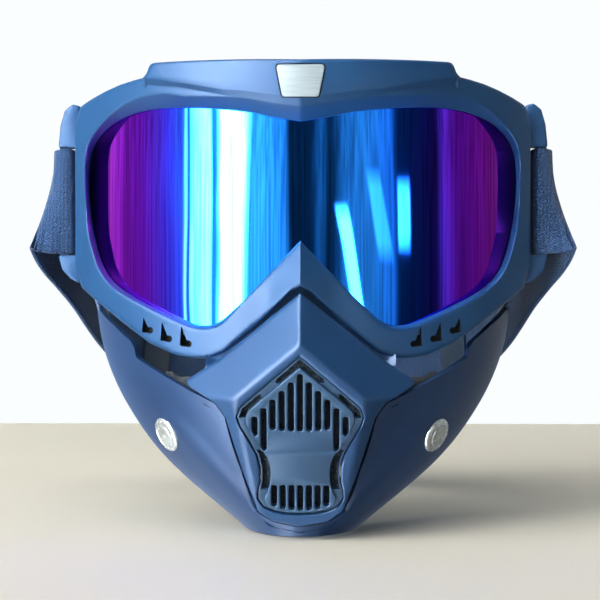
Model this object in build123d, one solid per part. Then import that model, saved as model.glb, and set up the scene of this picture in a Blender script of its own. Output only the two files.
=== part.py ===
from build123d import *
import os
from math import atan2, cos, degrees, pi, radians, sin, sqrt

# Riding goggles with a clip-on face mask. Millimetres. X is to the viewer's right, Y runs from the
# lens back to the wearer's face, Z is up. The origin is on the face foam at the brow, at eye level.

# ---- driving dimensions ---------------------------------------------------------------------

# lens and eye frame
lens_radius = 100.0  # front face of the cylindrical lens
lens_front = -45.0  # where that face crosses the centre plane
lens_wall = 2.0
lens_lap = 3.0  # how far the lens reaches under the frame, all round
frame_radius = 129.6  # front face of the frame, one cylinder for each half
frame_ridge = 5.0  # degrees that each half leans back from the centre ridge
frame_proud = 5.5  # frame face in front of the lens, at the centre
skirt_wall = 2.5
skirt_ledge = 3.0  # depth of the inner ledge that the lens is clamped on
fit_gap = 0.15  # clearance of a seated piece

skirt_inside = -1.0  # inner face of the skirt, out from the lens edge
skirt_outside = skirt_inside + skirt_wall
ledge_inside = -2.5
window_depth = 7.0  # air windows of the skirt, front to back
top_window_wide = 12.0
top_window_places = [-40, -20, 0, 20, 40]
low_window_wide = 7.0
low_window_places = [-50, -38, 38, 50]
vent_foam_wall = 2.0

# face seal
face_radius = 108.0
lining_wall = 1.2
foam_wall = 10.8
foam_outside = 2.0  # foam lip beyond the skirt
foam_inside = 3.0

# strap and its side bars
strap_width = 40.0
strap_wall = 2.0
slot_play = 0.65  # slot beyond the strap's edge, each end
slot_middle = 7.75  # height of the middle of the slot
slot_inner = 86.4
bar_inner = 89.6
bar_outer = 93.4
bar_front = 1.0
bar_back = 5.0
bar_gap = 0.3
strap_half = 103.0  # strap centre line beside the bar, from the centre plane
strap_end_half = 97.5  # where the fixed ends of the strap stop
strap_run = 60.0  # straight side of the strap, measured front to back
strap_lean = 16.5  # how far a straight side comes in over that run
strap_droop = 38.0  # degrees that the loose strap hangs below level
pivot_y = 3.0
slider_length = 14.0
slider_play = 0.75
slider_wall = 1.8
slider_turn = 48.0  # degrees round the rear arc from the centre plane to a slider's middle
slider_rim = 3.0  # slider's height beyond its opening, each end

# mask
mask_wall = 2.0
mask_bottom = -113.0
mask_top = -30.0
panel_wall = 2.2
panel_rim = 1.8
panel_seat = 2.4  # how much of the shell's edge lies behind the panel's rim
pad_wall = 7.0
pad_drop = 4.0  # top of the pads below the shell's edge
pad_from_x = 33.0
pad_from_y = -35.0
pad_low = -91.0
pad_high = -53.0
arm_top = -12.0
arm_front = 4.6
arm_back = 17.0
arm_wall = 2.0
stud_radius = 2.0
stud_play = 0.3
stud_y = 10.0
stud_z = -18.0
stud_head_radius = 3.4
stud_head_wall = 1.0

# planes of the muzzle: the flat plate, the two wings of the nose, the two low sides
plate_y = -63.5  # at the ridge over the grille
plate_z = -45.2
plate_slope = -0.197
nose_slope = 0.467
nose_side = 0.552
low_side = 0.6
low_edge = 15.5
low_edge_z = -100.0
low_edge_slope = 0.194
plate_middle = -76.0  # height of the middle of the grille

# mouth grille and filter
grille_wall = 2.0
grille_proud = 0.5
grille_gap = 0.35
window_inner = 3.2  # edge of the raised plate, in from the recess
window_outer = 1.2
foam_windows = [(0, 24.0, 16.4, 12.0), (-17.3, 10.0, 8.2, 8.6), (17.3, 10.0, 8.2, 8.6), (0, -12.6, 44, 14.2)]
slot_wide = 2.1
upper_pitch = 3.1
lower_pitch = 3.0
upper_top = 21.5  # top of the middle slot
upper_step = 3.0  # how much lower each next slot starts
lower_top = -17.8
upper_feet = [1.3, 1.3, 1.5, 1.8, -5.6, -0.4]  # from the middle slot outwards
lower_feet = [-27.4, -27.3, -26.7, -25.7]
filter_wall = 5.0
cover_wall = 1.6
filter_gap = 0.2
filter_margin = 1.2  # filter and cover, in from the recess
pocket_wall = 1.6
hole_radius = 2.4  # breathing holes of the filter cover
hole_step_x = 7.0
hole_step_z = 8.5

# rivets
cap_radius = 6.5
cap_height = 1.6
post_radius = 2.0
post_play = 0.15
washer_radius = 6.0
washer_wall = 1.2
washer_depth = 7.5  # how far inside the shell's face the washer sits

# badge
badge_wall = 1.6
badge_gap = 0.4
badge_proud = 0.4

# ---- outlines, right half, from the top centre round to the bottom centre ---------------------

opening_curve = [
    (0, 32.5), (24.4, 37.0), (53.9, 38.9), (72.4, 34.2), (80.9, 19.5), (79.1, -2.3),
    (69.9, -23.3), (50.2, -34.1), (33.4, -38.9), (20.9, -31.2),
]
opening_nose = (0, -9.2)
frame_line = [
    (0, 53.4), (54.2, 55.0), (55.9, 50.3), (66.0, 48.9), (78.2, 45.3), (83.9, 43.1), (88.2, 44.9),
    (92.0, 39.5), (bar_outer, 30.0), (bar_outer, -13.9), (89.6, -20.4), (76.3, -30.5), (54.4, -45.7),
    (44.8, -49.8), (35.5, -50.7), (27.4, -48.8), (0, -25.2),
]
badge_line = [(8.5, 51.4), (6.3, 40.3)]
vent_line = [(41.3, -46.9, -39.0), (48.6, -45.4, -37.6), (55.8, -42.4, -36.2)]  # x, foot, tip
panel_line = [
    (0, -27.6), (28.4, -50.6), (41.0, -58.6), (29.3, -65.3), (25.6, -70.5), (19.9, -88.9),
    (14.6, -103.0), (9.5, -106.6), (0, -108.4),
]
cheek_edge = [(90, -28), (79, -33), (70.0, -39.6), (61.4, -46.0), (61.0, -51.0), (30.4, -66.2)]
recess_line = [
    (0, 27.5), (20.6, 9.4), (21.8, 6.2), (20.8, 3.0), (15.0, -7.5), (13.9, -12.1), (13.9, -16.8),
    (14.8, -21.0), (13.6, -25.4), (9.1, -27.7), (0, -28.7),
]
# one horizontal section of the mask per row: height, half width, front, back
mask_sections = [
    (mask_top, 83.0, -47.0, 33.0),
    (-50.0, 79.0, -51.5, 31.0),
    (-70.0, 69.5, -52.5, 26.0),
    (-90.0, 52.5, -50.5, 12.0),
    (mask_bottom, 21.5, -44.0, -12.0),
]


def mirrored(half):
    """Closed list of points from the right half of a symmetric outline."""
    left = [(-x, z) for x, z in reversed(half) if x > 0]
    return list(half) + left


def face_xz(points, corner=0.0):
    """Face in the XZ plane, seen from the front, from a closed list of points."""
    face = make_face(Polyline(*[(x, z) for x, z in points], close=True))
    if corner:
        face = fillet(face.vertices(), corner)
    return face


def prism(sketch, y_near=-90.0, y_far=90.0):
    """A flat outline drawn as (x, z), made solid from y_near to y_far."""
    upright = Plane(origin=(0, y_far, 0), x_dir=(1, 0, 0), z_dir=(0, -1, 0))
    return extrude(upright * sketch, amount=y_far - y_near)


def column(radius, x, y):
    """Tall upright cylinder."""
    return Pos(x, y, 0) * Cylinder(radius, 400)


def moved_out(half, amount):
    """The right half of a symmetric outline, each point moved out square to its neighbours."""
    first = (-half[1][0], half[1][1])
    last = (-half[-2][0], half[-2][1])
    points = [first] + list(half) + [last]
    moved = []
    for before, here, after in zip(points, points[1:], points[2:]):
        way_in = Vector(here[0] - before[0], here[1] - before[1]).normalized()
        way_out = Vector(after[0] - here[0], after[1] - here[1]).normalized()
        along = (way_in + way_out).normalized()
        reach = amount / along.dot(way_in)
        moved.append((here[0] - along.Y * reach, here[1] + along.X * reach))
    return moved


def grown(amount):
    """The lens opening, made larger all round."""
    half = moved_out(opening_curve + [opening_nose], amount)
    curve = half[:-1]
    other = [(-x, z) for x, z in reversed(curve)]
    nose = Polyline(curve[-1], half[-1], other[0])
    return make_face(Spline(*curve) + nose + Spline(*other))


def inset(sketch, amount):
    return offset(sketch, amount=-amount, kind=Kind.INTERSECTION)


def slab(x_half, y_near, y_far, z_low, z_high):
    """Box that is symmetric about the centre plane."""
    middle = Pos(0, (y_near + y_far) / 2, (z_low + z_high) / 2)
    return middle * Box(2 * x_half, y_far - y_near, z_high - z_low)


def both_sides(shape):
    return [shape, mirror(shape, about=Plane.YZ)]


# ---- surfaces that several pieces share -------------------------------------------------------

lens_axis = lens_front + lens_radius
frame_shift = frame_radius * sin(radians(frame_ridge))
frame_axis = lens_front - frame_proud + frame_radius * cos(radians(frame_ridge))
face_axis = face_radius
foam_front = face_radius + lining_wall + foam_wall

in_lens_front = column(lens_radius, 0, lens_axis)
in_lens_back = column(lens_radius - lens_wall, 0, lens_axis)
in_ledge_back = column(lens_radius - lens_wall - skirt_ledge, 0, lens_axis)
in_frame = column(frame_radius, -frame_shift, frame_axis) & column(frame_radius, frame_shift, frame_axis)
in_skirt_back = column(foam_front, 0, face_axis)
in_foam_back = column(face_radius + lining_wall, 0, face_axis)
in_face = column(face_radius, 0, face_axis)

slot_low = slot_middle - strap_width / 2 - slot_play
slot_high = slot_middle + strap_width / 2 + slot_play


# ---- eye frame --------------------------------------------------------------------------------


def vent_cut(x, low, high):
    """Fin-shaped air slot with a round foot, open at the frame's lower edge."""
    fin = face_xz([(x - 1.7, low), (x + 1.4, low), (x - 0.6, high)])
    foot = Pos(x + 1.5, low + 1.6) * Circle(1.4)
    return prism(fin + foot, -60, 30)


def frame_front():
    body = prism(face_xz(mirrored(frame_line), 1.2), -60, 60) & in_frame
    body -= in_lens_back
    body -= in_lens_front & prism(grown(lens_lap + fit_gap))
    body -= prism(grown(0))
    for side in (-1, 1):
        middle = Pos(side * (slot_inner + 10), 30 + bar_back, 0)
        body -= middle * Box(20, 60, 200)
        window = Pos(side * (slot_inner + bar_inner) / 2, 0, slot_middle)
        body -= window * Box(bar_inner - slot_inner, 60, slot_high - slot_low)
        relief = Pos(side * (bar_inner + 10), bar_front - 20, slot_middle)
        body -= relief * Box(20, 40, slot_high - slot_low)
    for x, low, high in vent_line:
        for cut in both_sides(vent_cut(x, low, high)):
            body -= cut
    body -= prism(badge_sketch(badge_gap), -80, badge_back())
    return body


def badge_back():
    return lens_front - frame_proud - badge_proud + badge_wall


def badge_sketch(margin=0.0):
    (top_x, top_z), (low_x, low_z) = badge_line
    corners = [
        (-top_x - margin, top_z + margin), (top_x + margin, top_z + margin),
        (low_x + margin, low_z - margin), (-low_x - margin, low_z - margin),
    ]
    return face_xz(corners, 1.0 + margin)


def badge():
    return prism(badge_sketch(), badge_back() - badge_wall, badge_back())


def lens():
    return (in_lens_front - in_lens_back) & prism(grown(lens_lap), -60, 30)


def skirt_ring(inside, outside):
    return prism(grown(lens_lap + outside), -60, 60) - prism(grown(lens_lap + inside), -61, 61)


def window_y(x):
    """Middle of the skirt's depth at x, between the lens ledge and the foam."""
    ledge_y = lens_axis - sqrt((lens_radius - lens_wall - skirt_ledge) ** 2 - x * x)
    foam_y = face_axis - sqrt(foam_front ** 2 - x * x)
    return (ledge_y + foam_y) / 2


def frame_rear():
    wall = skirt_ring(skirt_inside, skirt_outside) & in_lens_back
    ledge = (skirt_ring(ledge_inside, skirt_outside) & in_lens_back) - in_ledge_back
    body = wall + ledge - in_skirt_back
    for x in top_window_places:
        body -= Pos(x, window_y(x), 45) * Box(top_window_wide, window_depth, 30)
    for x in low_window_places:
        body -= Pos(x, window_y(x), -45) * Box(low_window_wide, window_depth, 30)
    stud = Pos(0, stud_y, stud_z) * Rot(0, 90, 0) * Cylinder(stud_radius, 2 * arm_outer(stud_z) + 1.6)
    head_x = arm_outer(stud_z) + 0.4 + stud_head_wall / 2
    head = Pos(head_x, stud_y, stud_z) * Rot(0, 90, 0) * Cylinder(stud_head_radius, stud_head_wall)
    studs = stud - prism(grown(lens_lap + skirt_inside + 0.5), -61, 61) - slab(60, -60, 60, -60, 0)
    for piece in both_sides(head):
        studs += piece
    return body + studs


def face_foam():
    ring = skirt_ring(skirt_inside - foam_inside, skirt_outside + foam_outside)
    return (ring & in_skirt_back) - in_foam_back


def face_lining():
    ring = skirt_ring(skirt_inside - foam_inside, skirt_outside + foam_outside)
    return (ring & in_foam_back) - in_face


def vent_foams(top):
    ring = skirt_ring(skirt_inside - vent_foam_wall, skirt_inside) & in_ledge_back
    ring -= column(foam_front + 1.5, 0, face_axis)
    if top:
        return ring & slab(52, -60, 60, 20, 60)
    strips = ring & slab(57, -60, 60, -60, -30)
    return strips - slab(31, -60, 60, -70, 0)


# ---- strap ------------------------------------------------------------------------------------

droop = Pos(0, pivot_y, slot_middle) * Rot(-strap_droop, 0, 0) * Pos(0, -pivot_y, -slot_middle)
run_angle = atan2(strap_lean, strap_run)
back_x = strap_half - strap_lean
back_radius = back_x / cos(run_angle)
back_y = pivot_y + strap_run - back_radius * sin(run_angle)


def strap_outline(x_shift):
    """Plan of the strap's path, moved outwards by x_shift, as a closed face with the bay in front."""
    dx = x_shift * cos(run_angle)
    dy = x_shift * sin(run_angle)
    start = (strap_half + dx, pivot_y + dy)
    bend = (back_x + dx, pivot_y + strap_run + dy)
    rear = (0, back_y + back_radius + x_shift)
    arc = ThreePointArc(bend, rear, (-bend[0], bend[1]))
    sides = Line(start, bend) + Line((-bend[0], bend[1]), (-start[0], start[1]))
    close = Polyline((-start[0], start[1]), (-start[0], -40), (start[0], -40), start)
    return make_face(sides + arc + close)


def strap_band():
    plan = strap_outline(strap_wall / 2) - strap_outline(-strap_wall / 2)
    low = slot_middle - strap_width / 2
    band = Pos(0, 0, low) * extrude(plan, amount=strap_width)
    band &= Pos(0, pivot_y + 200, slot_middle) * Box(400, 400, 100)
    return droop * band


def strap_end():
    """Loop round the side bar with a short tail that points outwards."""
    inner_x = bar_inner - bar_gap
    outer_x = bar_outer + bar_gap
    front_y = bar_front - bar_gap
    back = bar_back + bar_gap
    ring = Pos((inner_x + outer_x) / 2, (front_y + back) / 2)
    hole = Rectangle(outer_x - inner_x, back - front_y)
    wrap = Rectangle(outer_x - inner_x + 2 * strap_wall, back - front_y + 2 * strap_wall)
    tail_long = strap_end_half - outer_x - 0.5
    tail = Pos(outer_x + 0.5 + tail_long / 2, front_y - strap_wall / 2) * Rectangle(tail_long, strap_wall)
    plan = ring * wrap - ring * hole + tail
    return Pos(0, 0, slot_middle - strap_width / 2) * extrude(plan, amount=strap_width)


def slider():
    """Flat loop that the strap runs through, on the rear arc, along which it slides."""
    inside = strap_wall + 2 * slider_play
    opening = strap_width + 2 * slider_play
    body = Box(inside + 2 * slider_wall, slider_length, opening + 2 * slider_rim)
    body -= Box(inside, slider_length + 2, opening)
    x = back_radius * sin(radians(slider_turn))
    y = back_y + back_radius * cos(radians(slider_turn))
    return droop * (Pos(x, y, slot_middle) * Rot(0, 0, 90 - slider_turn) * body)


# ---- rivets -----------------------------------------------------------------------------------

rivet_point = Vector(48.8, -28.7, -78.8)
rivet_out = Vector(0.735, -0.572, -0.363)


def rivet_parts(radius, low, high):
    """Cylinders along both rivet axes, from low to high measured outwards."""
    spots = Plane(origin=rivet_point, z_dir=rivet_out)
    one = spots * (Pos(0, 0, (low + high) / 2) * Cylinder(radius, high - low))
    return both_sides(one)


def rivet_caps():
    """Domed caps on the shell, each with its post through shell and pad."""
    bulge = cap_height + 0.9
    ball_radius = (cap_radius ** 2 + bulge ** 2) / (2 * bulge)
    middle = Plane(origin=rivet_point, z_dir=rivet_out) * Pos(0, 0, cap_height - ball_radius)
    domes = []
    for ball, rod in zip(both_sides(middle * Sphere(ball_radius)), rivet_parts(cap_radius, -4, 5)):
        domes.append((ball & rod) - mask_outer)
    posts = rivet_parts(post_radius, -washer_depth - washer_wall, 0.5)
    return [dome + post for dome, post in zip(domes, posts)]


def rivet_washers():
    discs = rivet_parts(washer_radius, -washer_depth - washer_wall, -washer_depth)
    holes = rivet_parts(post_radius, -20, 0)
    return [disc - hole for disc, hole in zip(discs, holes)]


# ---- mask -------------------------------------------------------------------------------------


def mask_section(height, half, front, back, inside):
    """Level section: a blunt nose curve from side to side, closed across the back."""
    half -= inside
    front += inside
    steps = 6
    curve = []
    for i in range(-steps, steps + 1):
        turn = pi / 2 * i / steps
        curve.append((half * sin(turn), back - (back - front) * cos(turn) ** 0.85))
    reach = 12 if inside else 0
    ends = [(half, back + reach), (-half, back + reach)]
    close = Polyline(curve[-1], *ends, curve[0]) if inside else Line(curve[-1], curve[0])
    return Pos(0, 0, height) * make_face(Spline(*curve) + close)


def mask_solid(inside):
    rows = [list(row) for row in mask_sections]
    if inside:
        rows[-1][0] += mask_wall
    return loft([mask_section(*row, inside) for row in rows])


mask_outer = mask_solid(0)
mask_inner = mask_solid(mask_wall)
pad_inner = mask_solid(mask_wall + pad_wall)


def beyond(y0, along_x, along_z, at_x=0.0, at_z=0.0):
    """Plane y = y0 + along_x (x - at_x) + along_z (z - at_z); its top side is to the rear."""
    return Plane(origin=(at_x, y0, at_z), z_dir=(-along_x, 1, -along_z))


def panel_space(depth):
    """All the room behind the faceted front of the muzzle, moved back by depth."""
    space = slab(60, -80, 0, -120, -10)
    ridge_y = plate_y + depth
    space = split(space, bisect_by=beyond(ridge_y, 0, plate_slope, 0, plate_z), keep=Keep.TOP)
    for side in (-1, 1):
        wing = beyond(ridge_y, side * nose_side, nose_slope, 0, plate_z)
        space = split(space, bisect_by=wing, keep=Keep.TOP)
        edge_y = plate_y + plate_slope * (low_edge_z - plate_z) + depth
        along_z = plate_slope - low_side * low_edge_slope
        low = beyond(edge_y, side * low_side, along_z, side * low_edge, low_edge_z)
        space = split(space, bisect_by=low, keep=Keep.TOP)
    return space


def plate_frame():
    """Plane on the muzzle's flat front, Z outwards, Y up the plate, where the grille sits."""
    y = plate_y + plate_slope * (plate_middle - plate_z)
    return Plane(origin=(0, y, plate_middle), x_dir=(1, 0, 0), z_dir=(0, -1, plate_slope))


plate = plate_frame()
recess = face_xz(mirrored(recess_line), 0.6)
panel = face_xz(mirrored(panel_line), 0.8)


def on_plate(sketch, low, high):
    """Sketch on the muzzle's flat front, made solid between two heights above it."""
    return extrude(plate * Pos(0, 0, low) * sketch, amount=high - low)


def arm_outer(z):
    """Half width of the mask's side arms at a height."""
    return 83.2 if z > -22 else 83.2 + (z + 22) * 0.2


def cheek_shell():
    body = mask_outer - mask_inner
    high = [(x, z) for x, z in cheek_edge]
    above = face_xz([(90, 20)] + high + [(-x, z) for x, z in reversed(high)] + [(-90, 20)])
    body -= prism(above, -90, 60)
    body -= prism(inset(panel, panel_seat), -90, 0)
    line = [(78.0, -44), (arm_outer(-22), -22), (arm_outer(-22), arm_top)]
    line += [(arm_outer(-22) - arm_wall, arm_top), (arm_outer(-22) - arm_wall, -22), (75.4, -44)]
    arm = prism(face_xz(line), arm_front, arm_back)
    width = 2 * (stud_radius + stud_play)
    fork = Pos(84, stud_y, stud_z + 10) * Box(20, width, 20)
    fork += Pos(84, stud_y, stud_z) * Rot(0, 90, 0) * Cylinder(width / 2, 20)
    for piece in both_sides(arm - fork - mask_inner):
        body += piece
    for hole in rivet_parts(post_radius + post_play, -20, 20):
        body -= hole
    return body


shell_body = cheek_shell()


def snout_panel():
    shell = prism(panel, -80, -38) & panel_space(0)
    hollow = prism(inset(panel, panel_rim), -81, -37) & panel_space(panel_wall)
    body = shell - hollow - mask_outer
    pocket = on_plate(inset(recess, -pocket_wall), -pocket_depth, -1.0)
    body += (pocket & panel_space(panel_wall / 2)) - shell_body
    return body - on_plate(recess, -20, 10)


# depths below the muzzle's flat front, one behind the other
grille_front = -1.2
grille_rear = grille_front - grille_wall
filter_front = grille_rear - filter_gap
filter_rear = filter_front - filter_wall
cover_front = filter_rear - filter_gap
cover_rear = cover_front - cover_wall
pocket_depth = -cover_rear


def grille_slots():
    """Two rows of upright slots through the grille."""
    cuts = []
    for i in range(-5, 6):
        top = upper_top - upper_step * abs(i)
        foot = upper_feet[abs(i)]
        cuts.append(Pos(i * upper_pitch, (top + foot) / 2) * Rectangle(slot_wide, top - foot))
    for i in range(-3, 4):
        foot = lower_feet[abs(i)]
        cuts.append(Pos(i * lower_pitch, (lower_top + foot) / 2) * Rectangle(slot_wide, lower_top - foot))
    return cuts


def mouth_grille():
    seat = on_plate(inset(recess, grille_gap), grille_rear, grille_front)
    plate_face = inset(recess, window_inner)
    body = seat + on_plate(plate_face, grille_front - 0.1, grille_proud)
    ring = inset(recess, window_outer) - plate_face
    for x, up, wide, tall in foam_windows:
        body -= on_plate(ring & (Pos(x, up) * Rectangle(wide, tall)), -10, 5)
    for cut in grille_slots():
        body -= on_plate(cut, -10, 5)
    return body


def filter_foam():
    return on_plate(inset(recess, filter_margin), filter_rear, filter_front)


def filter_cover():
    """Inner retainer behind the filter, with breathing holes."""
    body = on_plate(inset(recess, filter_margin), cover_rear, cover_front)
    for row in range(-2, 3):
        for place in (-1, 0, 1):
            hole = plate * Pos(place * hole_step_x, row * hole_step_z, cover_front)
            body -= hole * Cylinder(hole_radius, 10)
    return body


def cheek_pad():
    lining = (mask_inner & mask_outer) - pad_inner
    lining &= Box(60, 80, pad_high - pad_low, align=Align.MIN).moved(Location((pad_from_x, pad_from_y, pad_low)))
    edge = [(x, z - pad_drop) for x, z in reversed(cheek_edge)]
    lining -= prism(face_xz([(20, 20), (20, -60)] + edge + [(90, 20)]), -90, 60)
    for hole in rivet_parts(post_radius + post_play, -20, 20):
        lining -= hole
    for seat in rivet_parts(washer_radius + 0.3, -20, -washer_depth):
        lining -= seat
    return lining


# ---- write one file per piece -------------------------------------------------------------------


def write(name, shape):
    """Save a piece. A list is kept as a group of separate solids."""
    solids = []
    for item in shape if isinstance(shape, list) else [shape]:
        solids += item.solids()
    body = solids[0] if len(solids) == 1 else Compound(solids)
    body.label = name
    export_step(body, os.path.join("parts", name + ".step"))


os.makedirs("parts", exist_ok=True)
write("frame_front", frame_front())
write("frame_rear", frame_rear())
write("lens", lens())
write("badge", badge())
write("face_foam", face_foam())
write("face_lining", face_lining())
write("vent_foam_top", vent_foams(True))
write("vent_foams_bottom", vent_foams(False))
write("strap_band", strap_band())
for place, shape in zip(("right", "left"), both_sides(strap_end())):
    write("strap_end_" + place, shape)
for place, shape in zip(("right", "left"), both_sides(slider())):
    write("slider_" + place, shape)
write("cheek_shell", shell_body)
write("snout_panel", snout_panel())
write("mouth_grille", mouth_grille())
write("filter_foam", filter_foam())
write("filter_cover", filter_cover())
for place, shape in zip(("right", "left"), both_sides(cheek_pad())):
    write("cheek_pad_" + place, shape)
write("rivet_caps", rivet_caps())
write("rivet_washers", rivet_washers())
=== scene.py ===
import math

import bmesh
import bpy
from mathutils import Matrix, Vector, noise


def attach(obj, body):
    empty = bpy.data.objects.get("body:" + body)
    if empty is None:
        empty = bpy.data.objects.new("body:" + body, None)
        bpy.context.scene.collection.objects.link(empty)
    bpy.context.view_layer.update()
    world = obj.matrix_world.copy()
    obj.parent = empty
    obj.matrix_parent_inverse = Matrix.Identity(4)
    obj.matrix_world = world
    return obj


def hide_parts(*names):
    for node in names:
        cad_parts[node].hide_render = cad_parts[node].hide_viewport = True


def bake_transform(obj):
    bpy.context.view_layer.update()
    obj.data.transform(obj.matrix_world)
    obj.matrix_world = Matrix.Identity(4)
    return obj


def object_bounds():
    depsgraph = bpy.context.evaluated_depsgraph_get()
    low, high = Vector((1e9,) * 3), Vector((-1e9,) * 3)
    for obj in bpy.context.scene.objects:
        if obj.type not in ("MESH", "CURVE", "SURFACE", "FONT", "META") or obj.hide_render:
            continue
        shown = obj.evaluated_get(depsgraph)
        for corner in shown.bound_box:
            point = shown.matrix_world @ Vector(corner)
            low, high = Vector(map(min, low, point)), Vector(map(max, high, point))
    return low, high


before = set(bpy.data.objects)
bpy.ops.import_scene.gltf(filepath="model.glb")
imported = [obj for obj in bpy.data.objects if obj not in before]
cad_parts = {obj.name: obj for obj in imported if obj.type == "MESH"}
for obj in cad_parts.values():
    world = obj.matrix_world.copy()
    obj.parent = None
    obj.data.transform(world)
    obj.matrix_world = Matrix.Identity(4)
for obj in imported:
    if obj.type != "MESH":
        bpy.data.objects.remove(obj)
cad_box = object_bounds()

# Riding goggles with a clip-on face mask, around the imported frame. The mesh code below works in
# millimetres, in the frame's own axes, and every mesh is turned to metres as it is made.

# ---- camera ---------------------------------------------------------------------------------
# A short telephoto straight in front, a little to the right of the centre plane, level with the
# lower edge of the lens.


def add_object(name, data):
    """New object in the scene, from its mesh, curve, lamp or camera data."""
    made = bpy.data.objects.new(name, data)
    bpy.context.scene.collection.objects.link(made)
    return made


camera_data = bpy.data.cameras.new("camera")
camera_data.sensor_width = 36.0
camera_data.lens = 82.3
camera = add_object("camera", camera_data)
camera_turn = math.radians(0.9)
camera.location = (0.0073, -0.525, -0.030)
camera.rotation_euler = (math.radians(90), 0, camera_turn)
bpy.context.scene.camera = camera

# ---- floor, studio and lamps ----------------------------------------------------------------
# A pale warm table top in a white room. Daylight comes from the left, as from a tall window.


def linear(hex_colour):
    """Linear colour with alpha from an sRGB hex value."""
    parts = [int(hex_colour[i : i + 2], 16) / 255 for i in (0, 2, 4)]
    return [p / 12.92 if p <= 0.04045 else ((p + 0.055) / 1.055) ** 2.4 for p in parts] + [1.0]


def node(tree, kind, inputs=None, **settings):
    """Add a node. inputs maps socket name or number to a value or to another node's output."""
    made = tree.nodes.new("ShaderNode" + kind)
    for key, value in settings.items():
        setattr(made, key, value)
    for key, value in (inputs or {}).items():
        if isinstance(value, bpy.types.NodeSocket):
            tree.links.new(value, made.inputs[key])
        else:
            made.inputs[key].default_value = value
    return made


def ramp(tree, value, stops):
    """Colour ramp on a value, with (position, colour or grey) stops."""
    made = node(tree, "ValToRGB", {0: value})
    elements = made.color_ramp.elements
    while len(elements) < len(stops):
        elements.new(0.5)
    for element, (place, colour) in zip(elements, stops):
        element.position = place
        element.color = colour if hasattr(colour, "__len__") else (colour, colour, colour, 1)
    return made.outputs[0]


def new_material(name):
    """Empty material with its output node; returns (material, node tree, output node)."""
    made = bpy.data.materials.new(name)
    made.use_nodes = True
    made.node_tree.nodes.clear()
    return made, made.node_tree, node(made.node_tree, "OutputMaterial")


def finish_material(tree, output, shader):
    tree.links.new(shader.outputs[0], output.inputs["Surface"])


floor_level = cad_box[0].z - 0.0004
table_top, tree, output = new_material("painted_board_matt")
spot = node(tree, "TexCoord").outputs["Object"]
mottle = node(tree, "TexNoise", {"Vector": spot, "Scale": 3.0, "Detail": 3.0}).outputs["Fac"]
tone = ramp(tree, mottle, [(0.3, linear("c6c0b0")), (0.7, linear("cfc9ba"))])
finish_material(tree, output, node(tree, "BsdfPrincipled", {"Base Color": tone, "Roughness": 0.6}))

floor_mesh = bpy.data.meshes.new("floor")
far_edge, near_edge, floor_side = 0.40, -1.6, 1.6
floor_mesh.from_pydata(
    [
        (-floor_side, near_edge, floor_level),
        (floor_side, near_edge, floor_level),
        (floor_side, far_edge, floor_level),
        (-floor_side, far_edge, floor_level),
    ],
    [],
    [(0, 1, 2, 3)],
)
floor = add_object("floor", floor_mesh)
floor_mesh.materials.append(table_top)
floor.visible_glossy = False

# The room: plain white to the eye and soft blue-white as fill, with the tall window, its frame and
# the darker parts of the room seen only by glossy surfaces. Azimuth 0 is the middle of the ramp,
# straight in front of the lens, and the window is to the left of it.
world = bpy.data.worlds.new("white_room")
bpy.context.scene.world = world
world.use_nodes = True
tree = world.node_tree
tree.nodes.clear()
way = node(tree, "TexCoord").outputs["Generated"]
split = node(tree, "SeparateXYZ", {0: way})
front = node(tree, "Math", {0: split.outputs["Y"], 1: -1.0}, operation="MULTIPLY").outputs[0]
turn = node(tree, "Math", {0: split.outputs["X"], 1: front}, operation="ARCTAN2").outputs[0]
wobble = node(tree, "TexNoise", {"Vector": way, "Scale": 2.2, "Detail": 2.0}).outputs["Fac"]
drift = node(tree, "Math", {0: wobble, 1: 0.16, 2: -0.08}, operation="MULTIPLY_ADD").outputs[0]
bent = node(tree, "Math", {0: turn, 1: drift}, operation="ADD").outputs[0]
place = node(tree, "MapRange", {"Value": bent, "From Min": -math.pi, "From Max": math.pi}).outputs[0]


def at_turn(degrees_right):
    """Place on the ramp of a direction, in degrees to the right of straight ahead."""
    return 0.5 + degrees_right / 360


room_stripes = [
    (-116, 0.8), (-110, 0.5), (-101, 0.5), (-99, 2.0), (-92, 1.7), (-89, 0.8), (-67, 1.0), (-57, 1.6),
    (-55.8, 1.7), (-55.4, 26), (-54.7, 26), (-54.3, 0.2), (-52.8, 0.2), (-52.3, 50), (-42, 65), (-41, 1.4),
    (-38.2, 2.0), (-37.2, 90), (-27.0, 80), (-24.6, 1.6), (-21.4, 2.8), (-8, 1.5), (-6, 0.08), (4, 0.08),
    (8.5, 0.55), (13, 0.06), (19, 0.8), (41, 1.0), (44, 0.08), (63, 0.08), (67, 1.0), (74, 0.4),
]
window_peak = 90.0
band_value = ramp(tree, place, [(at_turn(a), math.sqrt(v / window_peak)) for a, v in room_stripes])
right_dim = node(
    tree, "MapRange", {"Value": turn, "From Min": 1.2, "From Max": 2.0, "To Min": 0.0, "To Max": 0.025}
).outputs[0]
stripes = node(tree, "Math", {0: band_value, 1: right_dim}, operation="ADD").outputs[0]
power = node(tree, "Math", {0: stripes, 1: 2.0}, operation="POWER").outputs[0]
window = node(tree, "Math", {0: power, 1: window_peak}, operation="MULTIPLY").outputs[0]
height = split.outputs["Z"]
lower = node(
    tree, "MapRange", {"Value": height, "From Min": -0.5, "From Max": 0.1, "To Min": 0.35, "To Max": 1.0}
).outputs[0]
fine = node(tree, "Mapping", {"Vector": way, "Scale": (70, 70, 2.5)}).outputs[0]
streaks = node(tree, "TexNoise", {"Vector": fine, "Scale": 1.0, "Detail": 3.0}).outputs["Fac"]
uneven = node(
    tree, "MapRange", {"Value": streaks, "From Min": 0.35, "From Max": 0.6, "To Min": 0.5, "To Max": 1.1}
).outputs[0]
streaked = node(tree, "Math", {0: window, 1: uneven}, operation="MULTIPLY").outputs[0]
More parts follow.
